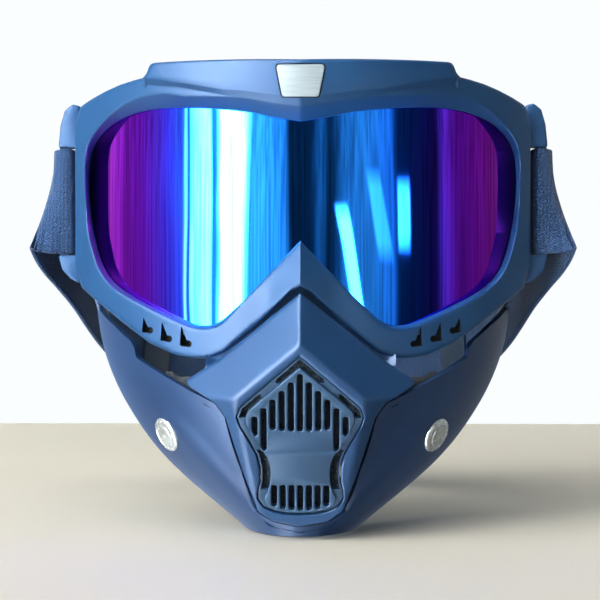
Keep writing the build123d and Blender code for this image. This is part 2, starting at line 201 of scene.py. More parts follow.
shown = node(tree, "Math", {0: streaked, 1: lower}, operation="MULTIPLY").outputs[0]


def band(value, low, high, soft):
    """1 where a value lies between two limits, falling softly to 0 outside."""
    rise = node(tree, "MapRange", {"Value": value, "From Min": low - soft, "From Max": low})
    span = {"From Min": high, "From Max": high + soft, "To Min": 1, "To Max": 0}
    fall = node(tree, "MapRange", {"Value": value, **span})
    return node(tree, "Math", {0: rise.outputs[0], 1: fall.outputs[0]}, operation="MULTIPLY").outputs[0]


# a small pane to the right, a slanting streak of light, and the pale table below
slant = node(tree, "Math", {0: height, 1: 0.9, 2: bent}, operation="MULTIPLY_ADD").outputs[0]
for across, limits, upright_limits, strength in (
    (bent, (0.77, 0.86), (0.035, 0.085), 16.0),
    (slant, (0.62, 0.70), (0.02, 0.10), 2.5),
    (slant, (0.33, 0.40), (-0.14, 0.05), 22.0),
    (turn, (-3.2, 0.6), (-1.1, -0.42), 1.3),
):
    beside, upright_part = band(across, *limits, 0.02), band(height, *upright_limits, 0.03)
    patch = node(tree, "Math", {0: beside, 1: upright_part}, operation="MULTIPLY").outputs[0]
    shown = node(tree, "Math", {0: patch, 1: strength, 2: shown}, operation="MULTIPLY_ADD").outputs[0]
glossy = node(tree, "Background", {"Color": linear("f2fbff"), "Strength": shown})
fill = node(tree, "Background", {"Color": linear("d6e6f4"), "Strength": 0.24})
seen = node(tree, "Background", {"Color": linear("fbfeff"), "Strength": 1.0})
path = node(tree, "LightPath")
mixed = node(tree, "MixShader", {0: path.outputs["Is Glossy Ray"], 1: fill.outputs[0], 2: glossy.outputs[0]})
shader = node(tree, "MixShader", {0: path.outputs["Is Camera Ray"], 1: mixed.outputs[0], 2: seen.outputs[0]})
world_output = node(tree, "OutputWorld")
tree.links.new(shader.outputs[0], world_output.inputs["Surface"])
bpy.context.scene.view_settings.view_transform = "Standard"


def soft_lamp(name, place_m, aim_m, wide, tall, watts, colour):
    """Large rectangular lamp that faces a point."""
    data = bpy.data.lights.new(name, "AREA")
    data.shape = "RECTANGLE"
    data.size, data.size_y = wide, tall
    data.energy = watts
    data.color = linear(colour)[:3]
    made = add_object(name, data)
    made.location = place_m
    made.rotation_mode = "QUATERNION"
    made.rotation_quaternion = (Vector(aim_m) - Vector(place_m)).to_track_quat("-Z", "Y")
    made.visible_glossy = False


goggles_middle = (0, 0, -0.03)
soft_lamp("window_light", (-1.5, -0.75, 0.55), goggles_middle, 1.1, 1.3, 47, "fbfaf6")
soft_lamp("ceiling_light", (-0.2, -0.5, 1.6), goggles_middle, 1.6, 1.6, 16, "fffaf2")

# ---- front frame ----------------------------------------------------------------------------
# One-piece bezel of glass-filled nylon, moulded with a fine satin grain. It has a raised brow, a
# keel over the nose, air slots in its lower edge, and a bar each side that the strap wraps round.
# The loops with the bars are made as meshes of their own.

lens_radius = 100.0
lens_front = -45.0
lens_axis = lens_front + lens_radius
lens_drum = 900.0  # gentle vertical curve of the sheet
face_arc = 129.6
face_lean = math.radians(5.0)
face_shift = face_arc * math.sin(face_lean)
face_axis = lens_front - 5.5 + face_arc * math.cos(face_lean)

opening_line = [
    (0, 32.6), (10, 34.2), (19.5, 36.3), (34.9, 38.2), (47, 39.0), (55, 38.9), (61, 38.2), (66.5, 36.8),
    (72, 34.4), (77.0, 30.5), (79.7, 26.0), (80.9, 20.0), (81.0, 12.0), (80.4, 5.0), (79.1, -2.6),
    (76.9, -11.0), (74.3, -17.5), (69.9, -23.2), (63.0, -28.0), (53.7, -32.5), (44.7, -36.4), (38.5, -38.6),
    (34.5, -39.1), (31.0, -38.6), (27.7, -37.0), (23.5, -33.4), (18.3, -28.6),
]
opening_nose = (0, -9.4)
bezel_line = [
    (0, 53.4), (54.2, 55.0), (55.9, 50.5), (61.0, 49.8), (66.6, 48.8), (72.5, 47.2), (78.2, 45.3),
    (83.7, 43.1), (86.2, 37.0), (86.2, -17.0), (83.2, -25.4), (76.3, -30.5), (62.4, -40.3), (54.4, -45.7),
    (44.8, -49.6), (38.5, -50.6), (33.0, -50.6), (27.4, -48.6), (13.7, -37.4), (3.2, -26.9), (0, -25.4),
]


def between(a, b, c, d, parts):
    """Points from b to just before c on the smooth curve that also passes a and d."""
    steps = [k / parts for k in range(parts)]
    return [
        0.5 * (2 * b + (c - a) * t + (2 * a - 5 * b + 4 * c - d) * t**2 + (3 * b - a - 3 * c + d) * t**3)
        for t in steps
    ]


def glide(points, parts=8):
    """Smooth line in the front view through points, as many short steps."""
    line = []
    for i in range(len(points) - 1):
        b, c = Vector(points[i]), Vector(points[i + 1])
        a = Vector(points[i - 1]) if i > 0 else b - (c - b) * 0.5
        d = Vector(points[i + 2]) if i + 2 < len(points) else c + (c - b) * 0.5
        line += between(a, b, c, d, parts)
    return line + [Vector(points[-1])]


def corner_arc(a, b, c, radius, most, parts):
    """Curve that rounds the corner b between a and c, over at most that share of each side."""
    back = min(radius / math.tan((a - b).angle(c - b) / 2), (a - b).length * most, (c - b).length * most)
    p, q = b + (a - b).normalized() * back, b + (c - b).normalized() * back
    steps = [k / parts for k in range(parts + 1)]
    return [p * (1 - t) ** 2 + b * 2 * t * (1 - t) + q * t**2 for t in steps]


def rounded(points, radius, keep=()):
    """Line of straight runs with its corners rounded; a point listed in keep isn't."""
    line = [Vector(points[0])]
    for i in range(1, len(points) - 1):
        a, b, c = Vector(points[i - 1]), Vector(points[i]), Vector(points[i + 1])
        line += [b] if i in keep else corner_arc(a, b, c, radius, 0.45, 5)
    return line + [Vector(points[-1])]


def measure(line):
    """Distance from the start at each point of a line."""
    total = [0.0]
    for a, b in zip(line, line[1:]):
        total.append(total[-1] + (b - a).length)
    return total


def point_at(line, lengths, distance):
    for i in range(1, len(line)):
        if distance <= lengths[i] or i == len(line) - 1:
            span = lengths[i] - lengths[i - 1]
            t = (distance - lengths[i - 1]) / span if span > 1e-9 else 0.0
            return line[i - 1].lerp(line[i], min(max(t, 0.0), 1.0))


def station(line, lengths, near):
    """Distance along a line of its point nearest to a given point."""
    near = Vector(near)
    return lengths[min(range(len(line)), key=lambda i: (line[i] - near).length)]


def matched(inner, outer, pairs, step):
    """Points side by side on two lines: pairs says which places belong together."""
    inner_total, outer_total = measure(inner), measure(outer)
    stops = [(station(inner, inner_total, a), station(outer, outer_total, b)) for a, b in pairs]
    rows = []
    for (a0, b0), (a1, b1) in zip(stops, stops[1:]):
        count = max(1, round(max(a1 - a0, b1 - b0) / step))
        for k in range(count):
            t = k / count
            near = point_at(inner, inner_total, a0 + (a1 - a0) * t)
            far = point_at(outer, outer_total, b0 + (b1 - b0) * t)
            rows.append((near, far))
    rows.append((point_at(inner, inner_total, stops[-1][0]), point_at(outer, outer_total, stops[-1][1])))
    return rows


def ring_of(half_columns, closed_section=True):
    """Mesh lists from columns of the right half, mirrored to the left and joined into a ring."""
    left = [[Vector((-p.x, p.y, p.z)) for p in column] for column in reversed(half_columns[1:-1])]
    columns = half_columns + left
    return strips(columns, True, closed_section)


def strips(columns, closed_ring, closed_section):
    """Mesh lists of quads between neighbouring columns of points."""
    size = len(columns[0])
    points = [p for column in columns for p in column]
    faces = []
    for i in range(len(columns) if closed_ring else len(columns) - 1):
        a, b = i * size, (i + 1) % len(columns) * size
        for k in range(size if closed_section else size - 1):
            n = (k + 1) % size
            faces.append((a + k, b + k, b + n, a + n))
    return points, faces


def piece(name, points, faces, material, sharp=40.0):
    """New object from points in millimetres, smooth but for edges sharper than that many degrees."""
    mesh = bpy.data.meshes.new(name)
    mesh.from_pydata([p * 0.001 for p in points], [], faces)
    mesh.validate()
    made = add_object(name, mesh)
    mesh.materials.append(material)
    tidy_normals(made, sharp)
    return made


def face_out(mesh, weld_m=None):
    """Turn all of a mesh's faces outwards, with points nearer than weld_m joined first."""
    work = bmesh.new()
    work.from_mesh(mesh)
    if weld_m:
        bmesh.ops.remove_doubles(work, verts=work.verts, dist=weld_m)
    bmesh.ops.recalc_face_normals(work, faces=work.faces)
    work.to_mesh(mesh)
    work.free()


def tidy_normals(made, sharp):
    """Weld the seams, face all normals outwards and mark the sharp edges."""
    face_out(made.data, weld_m=2e-6)
    made.data.polygons.foreach_set("use_smooth", [True] * len(made.data.polygons))
    made.data.set_sharp_from_angle(angle=math.radians(sharp))


def apply_modifiers(made):
    """Bake an object's modifiers into its mesh."""
    bpy.context.view_layer.update()
    ready = made.evaluated_get(bpy.context.evaluated_depsgraph_get())
    mesh = bpy.data.meshes.new_from_object(ready)
    made.modifiers.clear()
    made.data = mesh


def cut(made, cutters, sharp=40.0):
    """Take the cutters' solids away from a piece."""
    for cutter in cutters:
        change = made.modifiers.new("cut", "BOOLEAN")
        change.operation = "DIFFERENCE"
        change.solver = "EXACT"
        change.object = cutter
        change.material_mode = "TRANSFER"
    apply_modifiers(made)
    for cutter in cutters:
        bpy.data.objects.remove(cutter)
    tidy_normals(made, sharp)


def ease(low, high, value):
    """0 at low, 1 at high, smooth between."""
    t = min(max((value - low) / (high - low), 0.0), 1.0)
    return t * t * (3 - 2 * t)


def soft_max(a, b, radius):
    """The larger of two heights, with the crease between them rounded."""
    h = max(radius - abs(a - b), 0.0) / radius
    return max(a, b) + h * h * radius * 0.25


def lens_y(x, z):
    """Front face of the lens."""
    return lens_axis - math.sqrt(max(lens_radius**2 - x * x, 1.0)) + z * z / (2 * lens_drum)


def bezel_y(x, z):
    """Front face of the bezel, without the step of the brow."""
    a = abs(x)
    wrap = face_axis - math.sqrt(face_arc**2 - (a + face_shift) ** 2)
    rise = ease(-5.0, -24.0, z)
    keel = -50.6 - 4.6 * rise + 0.51 * a + 0.6 * max(a - 25.0, 0.0)
    return -soft_max(-wrap, -keel, 1.2) if rise > 0 else wrap


def brow_line(x):
    """Height of the V-shaped step under the raised brow."""
    return 35.6 + abs(x) * (48.6 - 35.6) / 55.0


opening_half = glide(opening_line, 8) + [Vector(opening_nose)]
bezel_half = rounded(bezel_line, 2.4, keep=(3, 4, 5, 6))
bezel_pairs = [
    ((0, 32.6), (0, 53.4)), ((38.9, 38.6), (40, 54.6)), ((49, 39.0), (52.5, 54.9)),
    ((52, 39.0), (55.9, 50.5)), ((66.5, 36.8), (72.5, 47.2)), ((72.0, 34.4), (78.6, 45.1)),
    ((75.5, 32.0), (83.7, 43.1)),
    ((79.7, 26.0), (86.2, 35.0)), ((81.0, 12.0), (86.2, 12.0)), ((77.4, -9.5), (86.2, -12.5)),
    ((74.3, -17.5), (84.4, -22.0)), ((69.9, -23.2), (76.3, -30.5)), ((53.7, -32.5), (54.4, -45.7)),
    ((42.0, -37.6), (44.8, -49.6)), ((34.5, -39.1), (33.0, -50.6)), ((29.0, -37.8), (27.4, -48.6)),
    ((20.9, -31.1), (16.5, -39.7)), ((4.6, -14.1), (3.2, -26.9)), ((0, -9.4), (0, -25.6)),
]


def bezel_column(p, q):
    """Section of the bezel from the lens edge p to its outer edge q, as a closed loop of points."""
    reach = (q - p).length
    way = (q - p) / reach
    top = ease(8.0, 24.0, p.y) * (1 - ease(56.0, 78.0, abs(p.x)))
    nose = 1 - ease(20.0, 30.0, abs(p.x)) if p.y < 0 else 0.0
    lip = 1.5 + 3.2 * top - 0.9 * nose
    flats = []

    def add(distance, drop, y=None):
        spot = p + way * distance
        flats.append(Vector((spot.x, (bezel_y(spot.x, spot.y) if y is None else y) + drop, spot.y)))

    edge_y = lens_y(p.x, p.y)
    add(0, -0.05, edge_y)
    add(0, -0.9, edge_y)
    add(0.15, -1.25, edge_y)
    outer_y = bezel_y(*(p + way * lip))
    add(lip - 0.5, 0.55, outer_y)
    add(lip - 0.12, 0.18, outer_y)
    add(lip + 0.35, 0.0)
    crease = None
    if p.y > 20 and abs(p.x) < 53:
        crease = (brow_line(p.x + way.x * reach * 0.6) - p.y) / way.y
    left_over = reach - 1.6
    if crease is not None and crease < left_over - 0.3:
        crease = max(crease, lip + 1.6)
        step = 1.0 + 1.0 * ease(0, 45, abs(p.x))
        half = 1.25
        for k in range(1, 3):
            add(lip + 0.35 + (crease - half - lip - 0.35) * k / 3, 0)
        add(crease - half, 0)
        add(crease - half + 0.35, -0.06 * step)
        add(crease + half - 0.4, -0.92 * step)
        add(crease + half, -step)
        for k in range(1, 3):
            add(crease + half + (left_over - crease - half) * k / 3, -step)
    else:
        step = 0.0
        for k in range(1, 9):
            add(lip + 0.35 + (left_over - lip - 0.35) * k / 9, 0)
    add(left_over, -step)
    add(reach - 0.85, 0.16 - step)
    add(reach - 0.3, 0.62 - step)
    add(reach, 1.5 - step)
    face = bezel_y(q.x, q.y)
    back = min(face + 9.0, lens_y(q.x * 0.99, q.y) + 2.0)
    flats.append(Vector((q.x, back - 0.5, q.y)))
    inner = q - way * 0.5
    flats.append(Vector((inner.x, back, inner.y)))
    seat = p + way * min(4.6, reach * 0.5)
    seat_y = min(lens_y(seat.x, seat.y) + 2.0, 5.0)
    flats.append(Vector((seat.x, seat_y, seat.y)))
    flats.append(Vector((seat.x, lens_y(seat.x, seat.y) - 0.3, seat.y)))
    return flats


def solid_block(x0, x1, y0, y1, z0, z1, corner=0.0):
    """Rectangular cutter with rounded upright edges seen from the front."""
    points = rounded_outline([(x0, z0), (x1, z0), (x1, z1), (x0, z1)], corner)
    return prism(points, y0, y1)


def rounded_outline(corners, radius, parts=5):
    """Closed outline with every corner rounded."""
    if radius <= 0:
        return [Vector(c) for c in corners]
    line = []
    count = len(corners)
    for i in range(count):
        a, b, c = Vector(corners[i - 1]), Vector(corners[i]), Vector(corners[(i + 1) % count])
        line += corner_arc(a, b, c, radius, 0.49, parts)
    return line


def prism(outline, y0, y1):
    """Bare object: an outline seen from the front, made solid between two depths."""
    count = len(outline)
    points = [Vector((p.x, y0, p.y)) for p in outline] + [Vector((p.x, y1, p.y)) for p in outline]
    faces = [tuple(range(count)), tuple(range(2 * count - 1, count - 1, -1))]
    faces += [(i, (i + 1) % count, count + (i + 1) % count, count + i) for i in range(count)]
    mesh = bpy.data.meshes.new("cutter")
    mesh.from_pydata([p * 0.001 for p in points], [], faces)
    face_out(mesh)
    return add_object("cutter", mesh)


def soften(made, width_mm, segments=2, angle=40.0):
    """Round the edges of a piece that are sharper than that angle."""
    change = made.modifiers.new("soft_edges", "BEVEL")
    change.width = width_mm * 0.001
    change.segments = segments
    change.limit_method = "ANGLE"
    change.angle_limit = math.radians(angle)
    apply_modifiers(made)
    tidy_normals(made, angle)


def satin_plastic(name, low, high, rough, grain_mm=0.35, grain_depth=0.05):
    """Moulded plastic with a fine spark-eroded grain: even colour, soft wide highlight."""
    made, tree, output = new_material(name)
    spot = node(tree, "TexCoord").outputs["Object"]
    cloud = node(tree, "TexNoise", {"Vector": spot, "Scale": 1000 / 38.0, "Detail": 4.0}).outputs["Fac"]
    tone = ramp(tree, cloud, [(0.32, linear(low)), (0.68, linear(high))])
    grain = node(tree, "TexNoise", {"Vector": spot, "Scale": 1000 / grain_mm, "Detail": 2.0}).outputs["Fac"]
    gloss = node(
        tree, "MapRange", {"Value": cloud, "To Min": rough - 0.05, "To Max": rough + 0.06}
    ).outputs[0]
    relief = node(tree, "Bump", {"Strength": grain_depth * 4, "Distance": 0.0001, "Height": grain}).outputs[0]
    skin = node(
        tree,
        "BsdfPrincipled",
        {"Base Color": tone, "Roughness": gloss, "Normal": relief, "Specular IOR Level": 0.33},
    )
    finish_material(tree, output, skin)
    return made


nylon_satin = satin_plastic("glass_filled_nylon_satin_moulded", "133c66", "194570", 0.45)
bezel_rows = matched(opening_half, bezel_half, bezel_pairs, 1.15)
bezel = piece("front_frame_bezel", *ring_of([bezel_column(p, q) for p, q in bezel_rows]), nylon_satin)

slot_half = 20.65
slot_mid = 7.75
vent_places = ((41.3, -46.6, -39.0), (48.6, -44.9, -37.6), (55.8, -42.0, -36.2))
vent_depth = 5.0
foot_radius = 1.25
in_front = -60  # a depth in front of the whole frame, where cutters start
# the air slots are blind here, and their walls are painted near-black: painted shade in place of the shade of
# an open slot
painted_recess_shade = satin_plastic("painted_shade_recess_walls", "05080c", "080c12", 0.7)
ear_line = [
    (84.8, 44.2), (88.2, 45.0), (91.1, 42.6), (92.7, 37.0), (93.4, 30.0), (93.4, -13.9), (92.2, -18.4),
    (89.0, -21.8), (84.8, -24.2),
]
cutters = []
for side, name in ((-1, "left"), (1, "right")):
    ear = prism(rounded_outline([(side * x, z) for x, z in ear_line], 1.6), -1.3, 5.0)
    ear.name = "front_frame_loop_" + name
    ear.data.materials.append(nylon_satin)
    soften(ear, 0.8, 3)
    low, high = slot_mid - slot_half, slot_mid + slot_half
    slot = solid_block(*sorted((side * 86.4, side * 89.6)), -41, 41, low, high, 0.5)
    relief = solid_block(*sorted((side * 88.7, side * 110)), -40, 1.0, low - 0.3, high + 0.3)
    cut(ear, [slot, relief], 35.0)
    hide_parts("frame_front")
    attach(ear, "goggles")
    for x, low, high in vent_places:
        # each slot is a leaning fin with a round foot
        fin = [(x + 1.7, low + 0.4), (x - 0.9, low), (x - 1.3, low + 1.2), (x + 1.2, high)]
        slot_end = bezel_y(x, (low + high) / 2) + vent_depth
        cutters.append(prism(rounded_outline([(side * u, v) for u, v in fin], 0.25), in_front, slot_end))
        foot_x, foot_z = side * (x - 1.5), low + 1.1
        foot = []
        for k in range(12):
            angle = k * math.pi / 6
            foot.append(
                Vector((foot_x + foot_radius * math.cos(angle), foot_z + foot_radius * math.sin(angle)))
            )
        cutters.append(prism(foot, in_front, slot_end + 0.01))
# the cut walls of the slots take the near-black painted shade
for cutter in cutters:
    cutter.data.materials.append(painted_recess_shade)
cut(bezel, cutters, 35.0)
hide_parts("frame_front")
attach(bezel, "goggles")

# ---- lens -----------------------------------------------------------------------------------
# 2 mm polycarbonate sheet, bent to a cylinder and dip coated with a mirror stack that turns from
# blue in the middle to violet and magenta where the sheet wraps round.

lens_lap = 2.9  # how far the sheet reaches under the bezel
lens_steps, lens_rows = 150, 40  # faces across and up the sheet


def outline_span(outline, x):
    """Lowest and highest height of a closed outline at x."""
    heights = []
    for a, b in zip(outline, outline[1:] + outline[:1]):
        if (a.x - x) * (b.x - x) <= 0 and abs(a.x - b.x) > 1e-9:
            heights.append(a.y + (b.y - a.y) * (x - a.x) / (b.x - a.x))
    return min(heights), max(heights)


def grown(half, amount):
    """Right half of an outline, moved out square to itself."""
    line = []
    for i, here in enumerate(half):
        before = half[i - 1] if i else Vector((-half[1].x, half[1].y))
        after = half[i + 1] if i + 1 < len(half) else Vector((-half[-2].x, half[-2].y))
        way_in, way_out = (here - before).normalized(), (after - here).normalized()
        along = (way_in + way_out).normalized()
        reach = amount / max(along.dot(way_in), 0.5)
        x = max(here.x - along.y * reach, 0.0) if here.x > 0 else 0.0
        line.append(Vector((x, here.y + along.x * reach)))
    return line


def whole(half):
    """Closed outline, clockwise from the top, from its right half."""
    return [Vector(p) for p in half] + [Vector((-p[0], p[1])) for p in reversed(half) if p[0] > 0.01]


lens_outline = whole(grown(opening_half, lens_lap))
lens_half_width = max(p.x for p in lens_outline)
columns = []
for i in range(lens_steps + 1):
    x = lens_half_width * 0.999 * math.sin(math.pi / 2 * (2 * i / lens_steps - 1))
    low, high = outline_span(lens_outline, x)
    heights = [low + (high - low) * k / lens_rows for k in range(lens_rows + 1)]
    columns.append([Vector((x, lens_y(x, z), z)) for z in heights])

mirror_coat, tree, output = new_material("polycarbonate_mirror_dip_coated")
spot = node(tree, "TexCoord").outputs["Object"]
axes = node(tree, "SeparateXYZ", {0: spot})
aside = node(tree, "Math", {0: axes.outputs["X"]}, operation="ABSOLUTE").outputs[0]
uneven = node(tree, "TexNoise", {"Vector": spot, "Scale": 14.0, "Detail": 1.0}).outputs["Fac"]
moved = node(tree, "Math", {0: uneven, 1: 0.012, 2: -0.006}, operation="MULTIPLY_ADD").outputs[0]
shifted = node(tree, "Math", {0: aside, 1: moved}, operation="ADD").outputs[0]
across = node(tree, "MapRange", {"Value": shifted, "From Min": 0.0, "From Max": 0.084}).outputs[0]
coat = ramp(
    tree,
    across,
    [
        (0.0, (0.012, 0.20, 0.85, 1)), (0.30, (0.020, 0.25, 0.95, 1)), (0.46, (0.006, 0.115, 0.95, 1)),
        (0.56, (0.045, 0.035, 0.80, 1)), (0.68, (0.16, 0.008, 0.52, 1)), (0.82, (0.22, 0.004, 0.36, 1)),
        (1.0, (0.20, 0.003, 0.16, 1)),
    ],
)
ripple = node(tree, "TexNoise", {"Vector": spot, "Scale": 26.0, "Detail": 0.0}).outputs["Fac"]
wave = node(tree, "Bump", {"Strength": 0.12, "Distance": 0.0006, "Height": ripple}).outputs[0]
sheet = node(
    tree, "BsdfPrincipled", {"Base Color": coat, "Metallic": 1.0, "Roughness": 0.035, "Normal": wave}
)
finish_material(tree, output, sheet)



def thicken(made, wall_mm):
    """Give an open surface a wall on its inner side."""
    wall = made.modifiers.new("wall", "SOLIDIFY")
    wall.thickness = wall_mm * 0.001
    wall.offset = -1.0
    apply_modifiers(made)


lens = piece("mirror_lens", *strips(columns, False, False), mirror_coat, 60.0)
thicken(lens, 1.9)
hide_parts("lens")
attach(lens, "goggles")

# ---- badge ----------------------------------------------------------------------------------
# Stamped aluminium plate with rounded corners, let into a pocket in the brow and left blank. It is
# lacquered pale silver.

badge_front = -51.35
badge_wall = 1.4
badge_corners = [(-8.5, 51.4), (8.5, 51.4), (6.3, 40.3), (-6.3, 40.3)]
badge_gap = 0.45


def sides_out(corners, amount):
    """Closed outline (clockwise, seen from the front) with each side moved out square to itself."""
    moved = []
    count = len(corners)
    for i in range(count):
        a, b, c = Vector(corners[i - 1]), Vector(corners[i]), Vector(corners[(i + 1) % count])
        into, away = (b - a).normalized(), (c - b).normalized()
        along = (into + away).normalized()
        reach = amount / along.dot(into)
        moved.append(Vector((b.x - along.y * reach, b.y + along.x * reach)))
    return moved


pocket_line = rounded_outline(sides_out(badge_corners, badge_gap), 1.5)
pocket = prism(pocket_line, in_front, badge_front + badge_wall + 0.1)
# the pocket's walls take the same near-black painted shade, a dark line of painted shade round the badge
pocket.data.materials.append(painted_recess_shade)
cut(bezel, [pocket], 35.0)

lacquer, tree, output = new_material("aluminium_stamped_lacquered")
spot = node(tree, "TexCoord").outputs["Object"]
rolled = node(tree, "Mapping", {"Vector": spot, "Scale": (60, 60, 2500)}).outputs[0]
lines = node(tree, "TexNoise", {"Vector": rolled, "Scale": 1.0, "Detail": 3.0}).outputs["Fac"]
tone = ramp(tree, lines, [(0.35, linear("b4c6d3")), (0.65, linear("c5d5df"))])
gloss = node(tree, "MapRange", {"Value": lines, "To Min": 0.28, "To Max": 0.40}).outputs[0]
skin = node(
    tree, "BsdfPrincipled", {"Base Color": tone, "Roughness": gloss, "Specular IOR Level": 0.2}
)
finish_material(tree, output, skin)

badge = prism(rounded_outline(badge_corners, 1.3), badge_front, badge_front + badge_wall)
badge.name = "badge_plate"
badge.data.materials.append(lacquer)
soften(badge, 0.22)
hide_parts("badge")
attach(badge, "goggles")

# ---- skirt ----------------------------------------------------------------------------------
# Soft thermoplastic rubber frame behind the lens, with air windows above and below and a stud on
# each side for the mask. Matt, with a fine skin.

rubber, tree, output = new_material("thermoplastic_rubber_matt_moulded")
spot = node(tree, "TexCoord").outputs["Object"]
cloud = node(tree, "TexNoise", {"Vector": spot, "Scale": 55.0, "Detail": 4.0}).outputs["Fac"]
tone = ramp(tree, cloud, [(0.3, linear("0e1826")), (0.7, linear("182536"))])
grain = node(tree, "TexNoise", {"Vector": spot, "Scale": 1000 / 0.5, "Detail": 2.0}).outputs["Fac"]
relief = node(tree, "Bump", {"Strength": 0.25, "Distance": 0.0001, "Height": grain}).outputs[0]
finish_material(
    tree, output, node(tree, "BsdfPrincipled", {"Base Color": tone, "Roughness": 0.62, "Normal": relief})
)
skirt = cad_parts["frame_rear"]
skirt.data.materials.clear()
skirt.data.materials.append(rubber)

# ---- vent foams -----------------------------------------------------------------------------
# Thin strips of coarse open-cell polyurethane foam inside the air windows, which keep dust out.


def cell_foam(name, dark, light, cell_mm, depth_mm):
    """Open-cell foam: small dark pores between thin paler struts."""
    made, tree, output = new_material(name)
    spot = node(tree, "TexCoord").outputs["Object"]
    cells = node(tree, "TexVoronoi", {"Vector": spot, "Scale": 1000 / cell_mm}).outputs["Distance"]
    fine = node(tree, "TexVoronoi", {"Vector": spot, "Scale": 2300 / cell_mm}).outputs["Distance"]
    both = node(tree, "Math", {0: fine, 1: 0.5, 2: cells}, operation="MULTIPLY_ADD").outputs[0]
    tone = ramp(tree, both, [(0.25, linear(dark)), (0.85, linear(light))])
    relief = node(tree, "Bump", {"Strength": 0.8, "Distance": depth_mm * 0.001, "Height": both}).outputs[0]
    skin = node(tree, "BsdfPrincipled", {"Base Color": tone, "Roughness": 0.95, "Normal": relief})
    finish_material(tree, output, skin)
    return made


vent_cells = cell_foam("polyurethane_filter_foam_black", "06090d", "1a222c", 1.6, 0.5)
strip_section = [
    # (offset from the opening, share of the depth from front to back)
    (0.12, 0.03), (0.05, 0.28), (0.05, 0.72), (0.12, 0.97), (1.0, 1.0), (1.88, 0.97), (1.95, 0.72),
    (1.95, 0.28), (1.88, 0.03), (1.0, 0.0),
]


def arc_y(axis, radius, x):
    """Depth of an upright cylinder's front at x."""
    return axis - math.sqrt(radius**2 - min(abs(x), radius - 1) ** 2)


def subdivide(made):
    """Halve the faces of a soft piece once, which also rounds its edges."""
    change = made.modifiers.new("rounder", "SUBSURF")
    change.levels = change.render_levels = 1
    apply_modifiers(made)


def foam_strip(name, inner, outer, above):
    """Strip of foam along the opening, between two distances from the middle."""
    lines = [grown(opening_half, offset) for offset, share in strip_section]
    columns = []
    for i, edge in enumerate(opening_half):
        if inner <= edge.x <= outer and (edge.y > 0) == above:
            column = []
            for line, (offset, share) in zip(lines, strip_section):
                p = line[i]
                front, back = arc_y(55.0, 95.0, p.x) + 0.4, arc_y(108.0, 121.5, p.x) - 0.4
                ripple = 0.12 * noise.noise(Vector((p.x * 0.35, p.y * 0.35, share * 4)))
                column.append(Vector((p.x, front + (back - front) * share, p.y + ripple)))
            columns.append(column)
    if inner == 0:
        columns = [[Vector((-p.x, p.y, p.z)) for p in column] for column in reversed(columns[1:])] + columns
    points, faces = strips(columns, False, True)
    faces += [tuple(range(len(strip_section))), tuple(range(len(points) - len(strip_section), len(points)))]
    strip = piece(name, points, faces, vent_cells, 80.0)
    subdivide(strip)
    return strip


upper_strip = foam_strip("vent_foam_upper", 0, 52, True)
right_strip = foam_strip("vent_foam_lower_right", 31, 57, False)
left_strip = foam_strip("vent_foam_lower_left", 31, 57, False)
left_strip.data.transform(Matrix.Scale(-1, 4, (1, 0, 0)))
left_strip.data.flip_normals()
for strip, node_name in (
    (upper_strip, "vent_foam_top"),
    (right_strip, "vent_foams_bottom"),
    (left_strip, "vent_foams_bottom"),
):
    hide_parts(node_name)
    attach(strip, "goggles")

# ---- face foam and its lining ---------------------------------------------------------------
# A ring of closed-cell foam, about 11 mm thick, glued to the skirt, and a soft brushed fleece
# laminated to its face. The edges are pressed round in the laminating tool.

face_axis_y = 108.0
foam_section = [
    # (offset from the opening, share of the thickness from front to back)
    (-0.9, 0.03), (-1.0, 0.30), (-0.8, 0.62), (-0.1, 0.88), (1.2, 1.0), (3.0, 1.0), (4.6, 1.0),
    (5.8, 0.90), (6.5, 0.62), (6.6, 0.30), (6.4, 0.03), (4.4, 0.0), (1.0, 0.0),
]
lining_section = [
    (-0.3, 0.0), (-0.5, 0.35), (-0.2, 0.80), (0.9, 1.25), (2.8, 1.45), (4.7, 1.25),
    (5.9, 0.80), (6.3, 0.35), (6.1, 0.0), (4.6, -0.1), (1.0, -0.1),
]


def seal_ring(section, near_radius, far_radius, waves=0.0):
    """Closed ring along the opening: each section point sits between two upright cylinders."""
    lines = [grown(opening_half, offset) for offset, share in section]
    columns = []
    for i in range(0, len(opening_half), 2):
        column = []
        for k, (offset, share) in enumerate(section):
            p = lines[k][i]
            near, far = arc_y(face_axis_y, near_radius, p.x), arc_y(face_axis_y, far_radius, p.x)
            ripple = waves * noise.noise(Vector((abs(p.x) * 0.09, p.y * 0.09, share)))
            column.append(Vector((p.x, near + (far - near) * share + ripple * share, p.y)))
        columns.append(column)
    return ring_of(columns)


seal_cells = cell_foam("polyurethane_face_foam_dark", "0c1118", "222c38", 1.1, 0.25)
foam_ring = piece("face_foam_ring", *seal_ring(foam_section, 120.0, 109.2, 0.5), seal_cells, 80.0)
subdivide(foam_ring)
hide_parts("face_foam")
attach(foam_ring, "goggles")

fleece, tree, output = new_material("polyester_fleece_brushed_black")
spot = node(tree, "TexCoord").outputs["Object"]
tufts = node(tree, "TexNoise", {"Vector": spot, "Scale": 1000 / 0.9, "Detail": 5.0}).outputs["Fac"]
lie = node(tree, "TexNoise", {"Vector": spot, "Scale": 90.0, "Detail": 2.0}).outputs["Fac"]
both = node(tree, "Math", {0: lie, 1: 0.6, 2: tufts}, operation="MULTIPLY_ADD").outputs[0]
tone = ramp(tree, both, [(0.5, linear("05070a")), (1.0, linear("10141a"))])
relief = node(tree, "Bump", {"Strength": 0.7, "Distance": 0.0004, "Height": both}).outputs[0]
skin = node(
    tree,
    "BsdfPrincipled",
    {"Base Color": tone, "Roughness": 0.95, "Normal": relief, "Sheen Weight": 0.06, "Sheen Roughness": 0.5},
)
finish_material(tree, output, skin)
lining = piece("face_lining_fleece", *seal_ring(lining_section, 109.2, 108.0, 0.4), fleece, 80.0)
subdivide(lining)
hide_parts("face_lining")
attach(lining, "goggles")

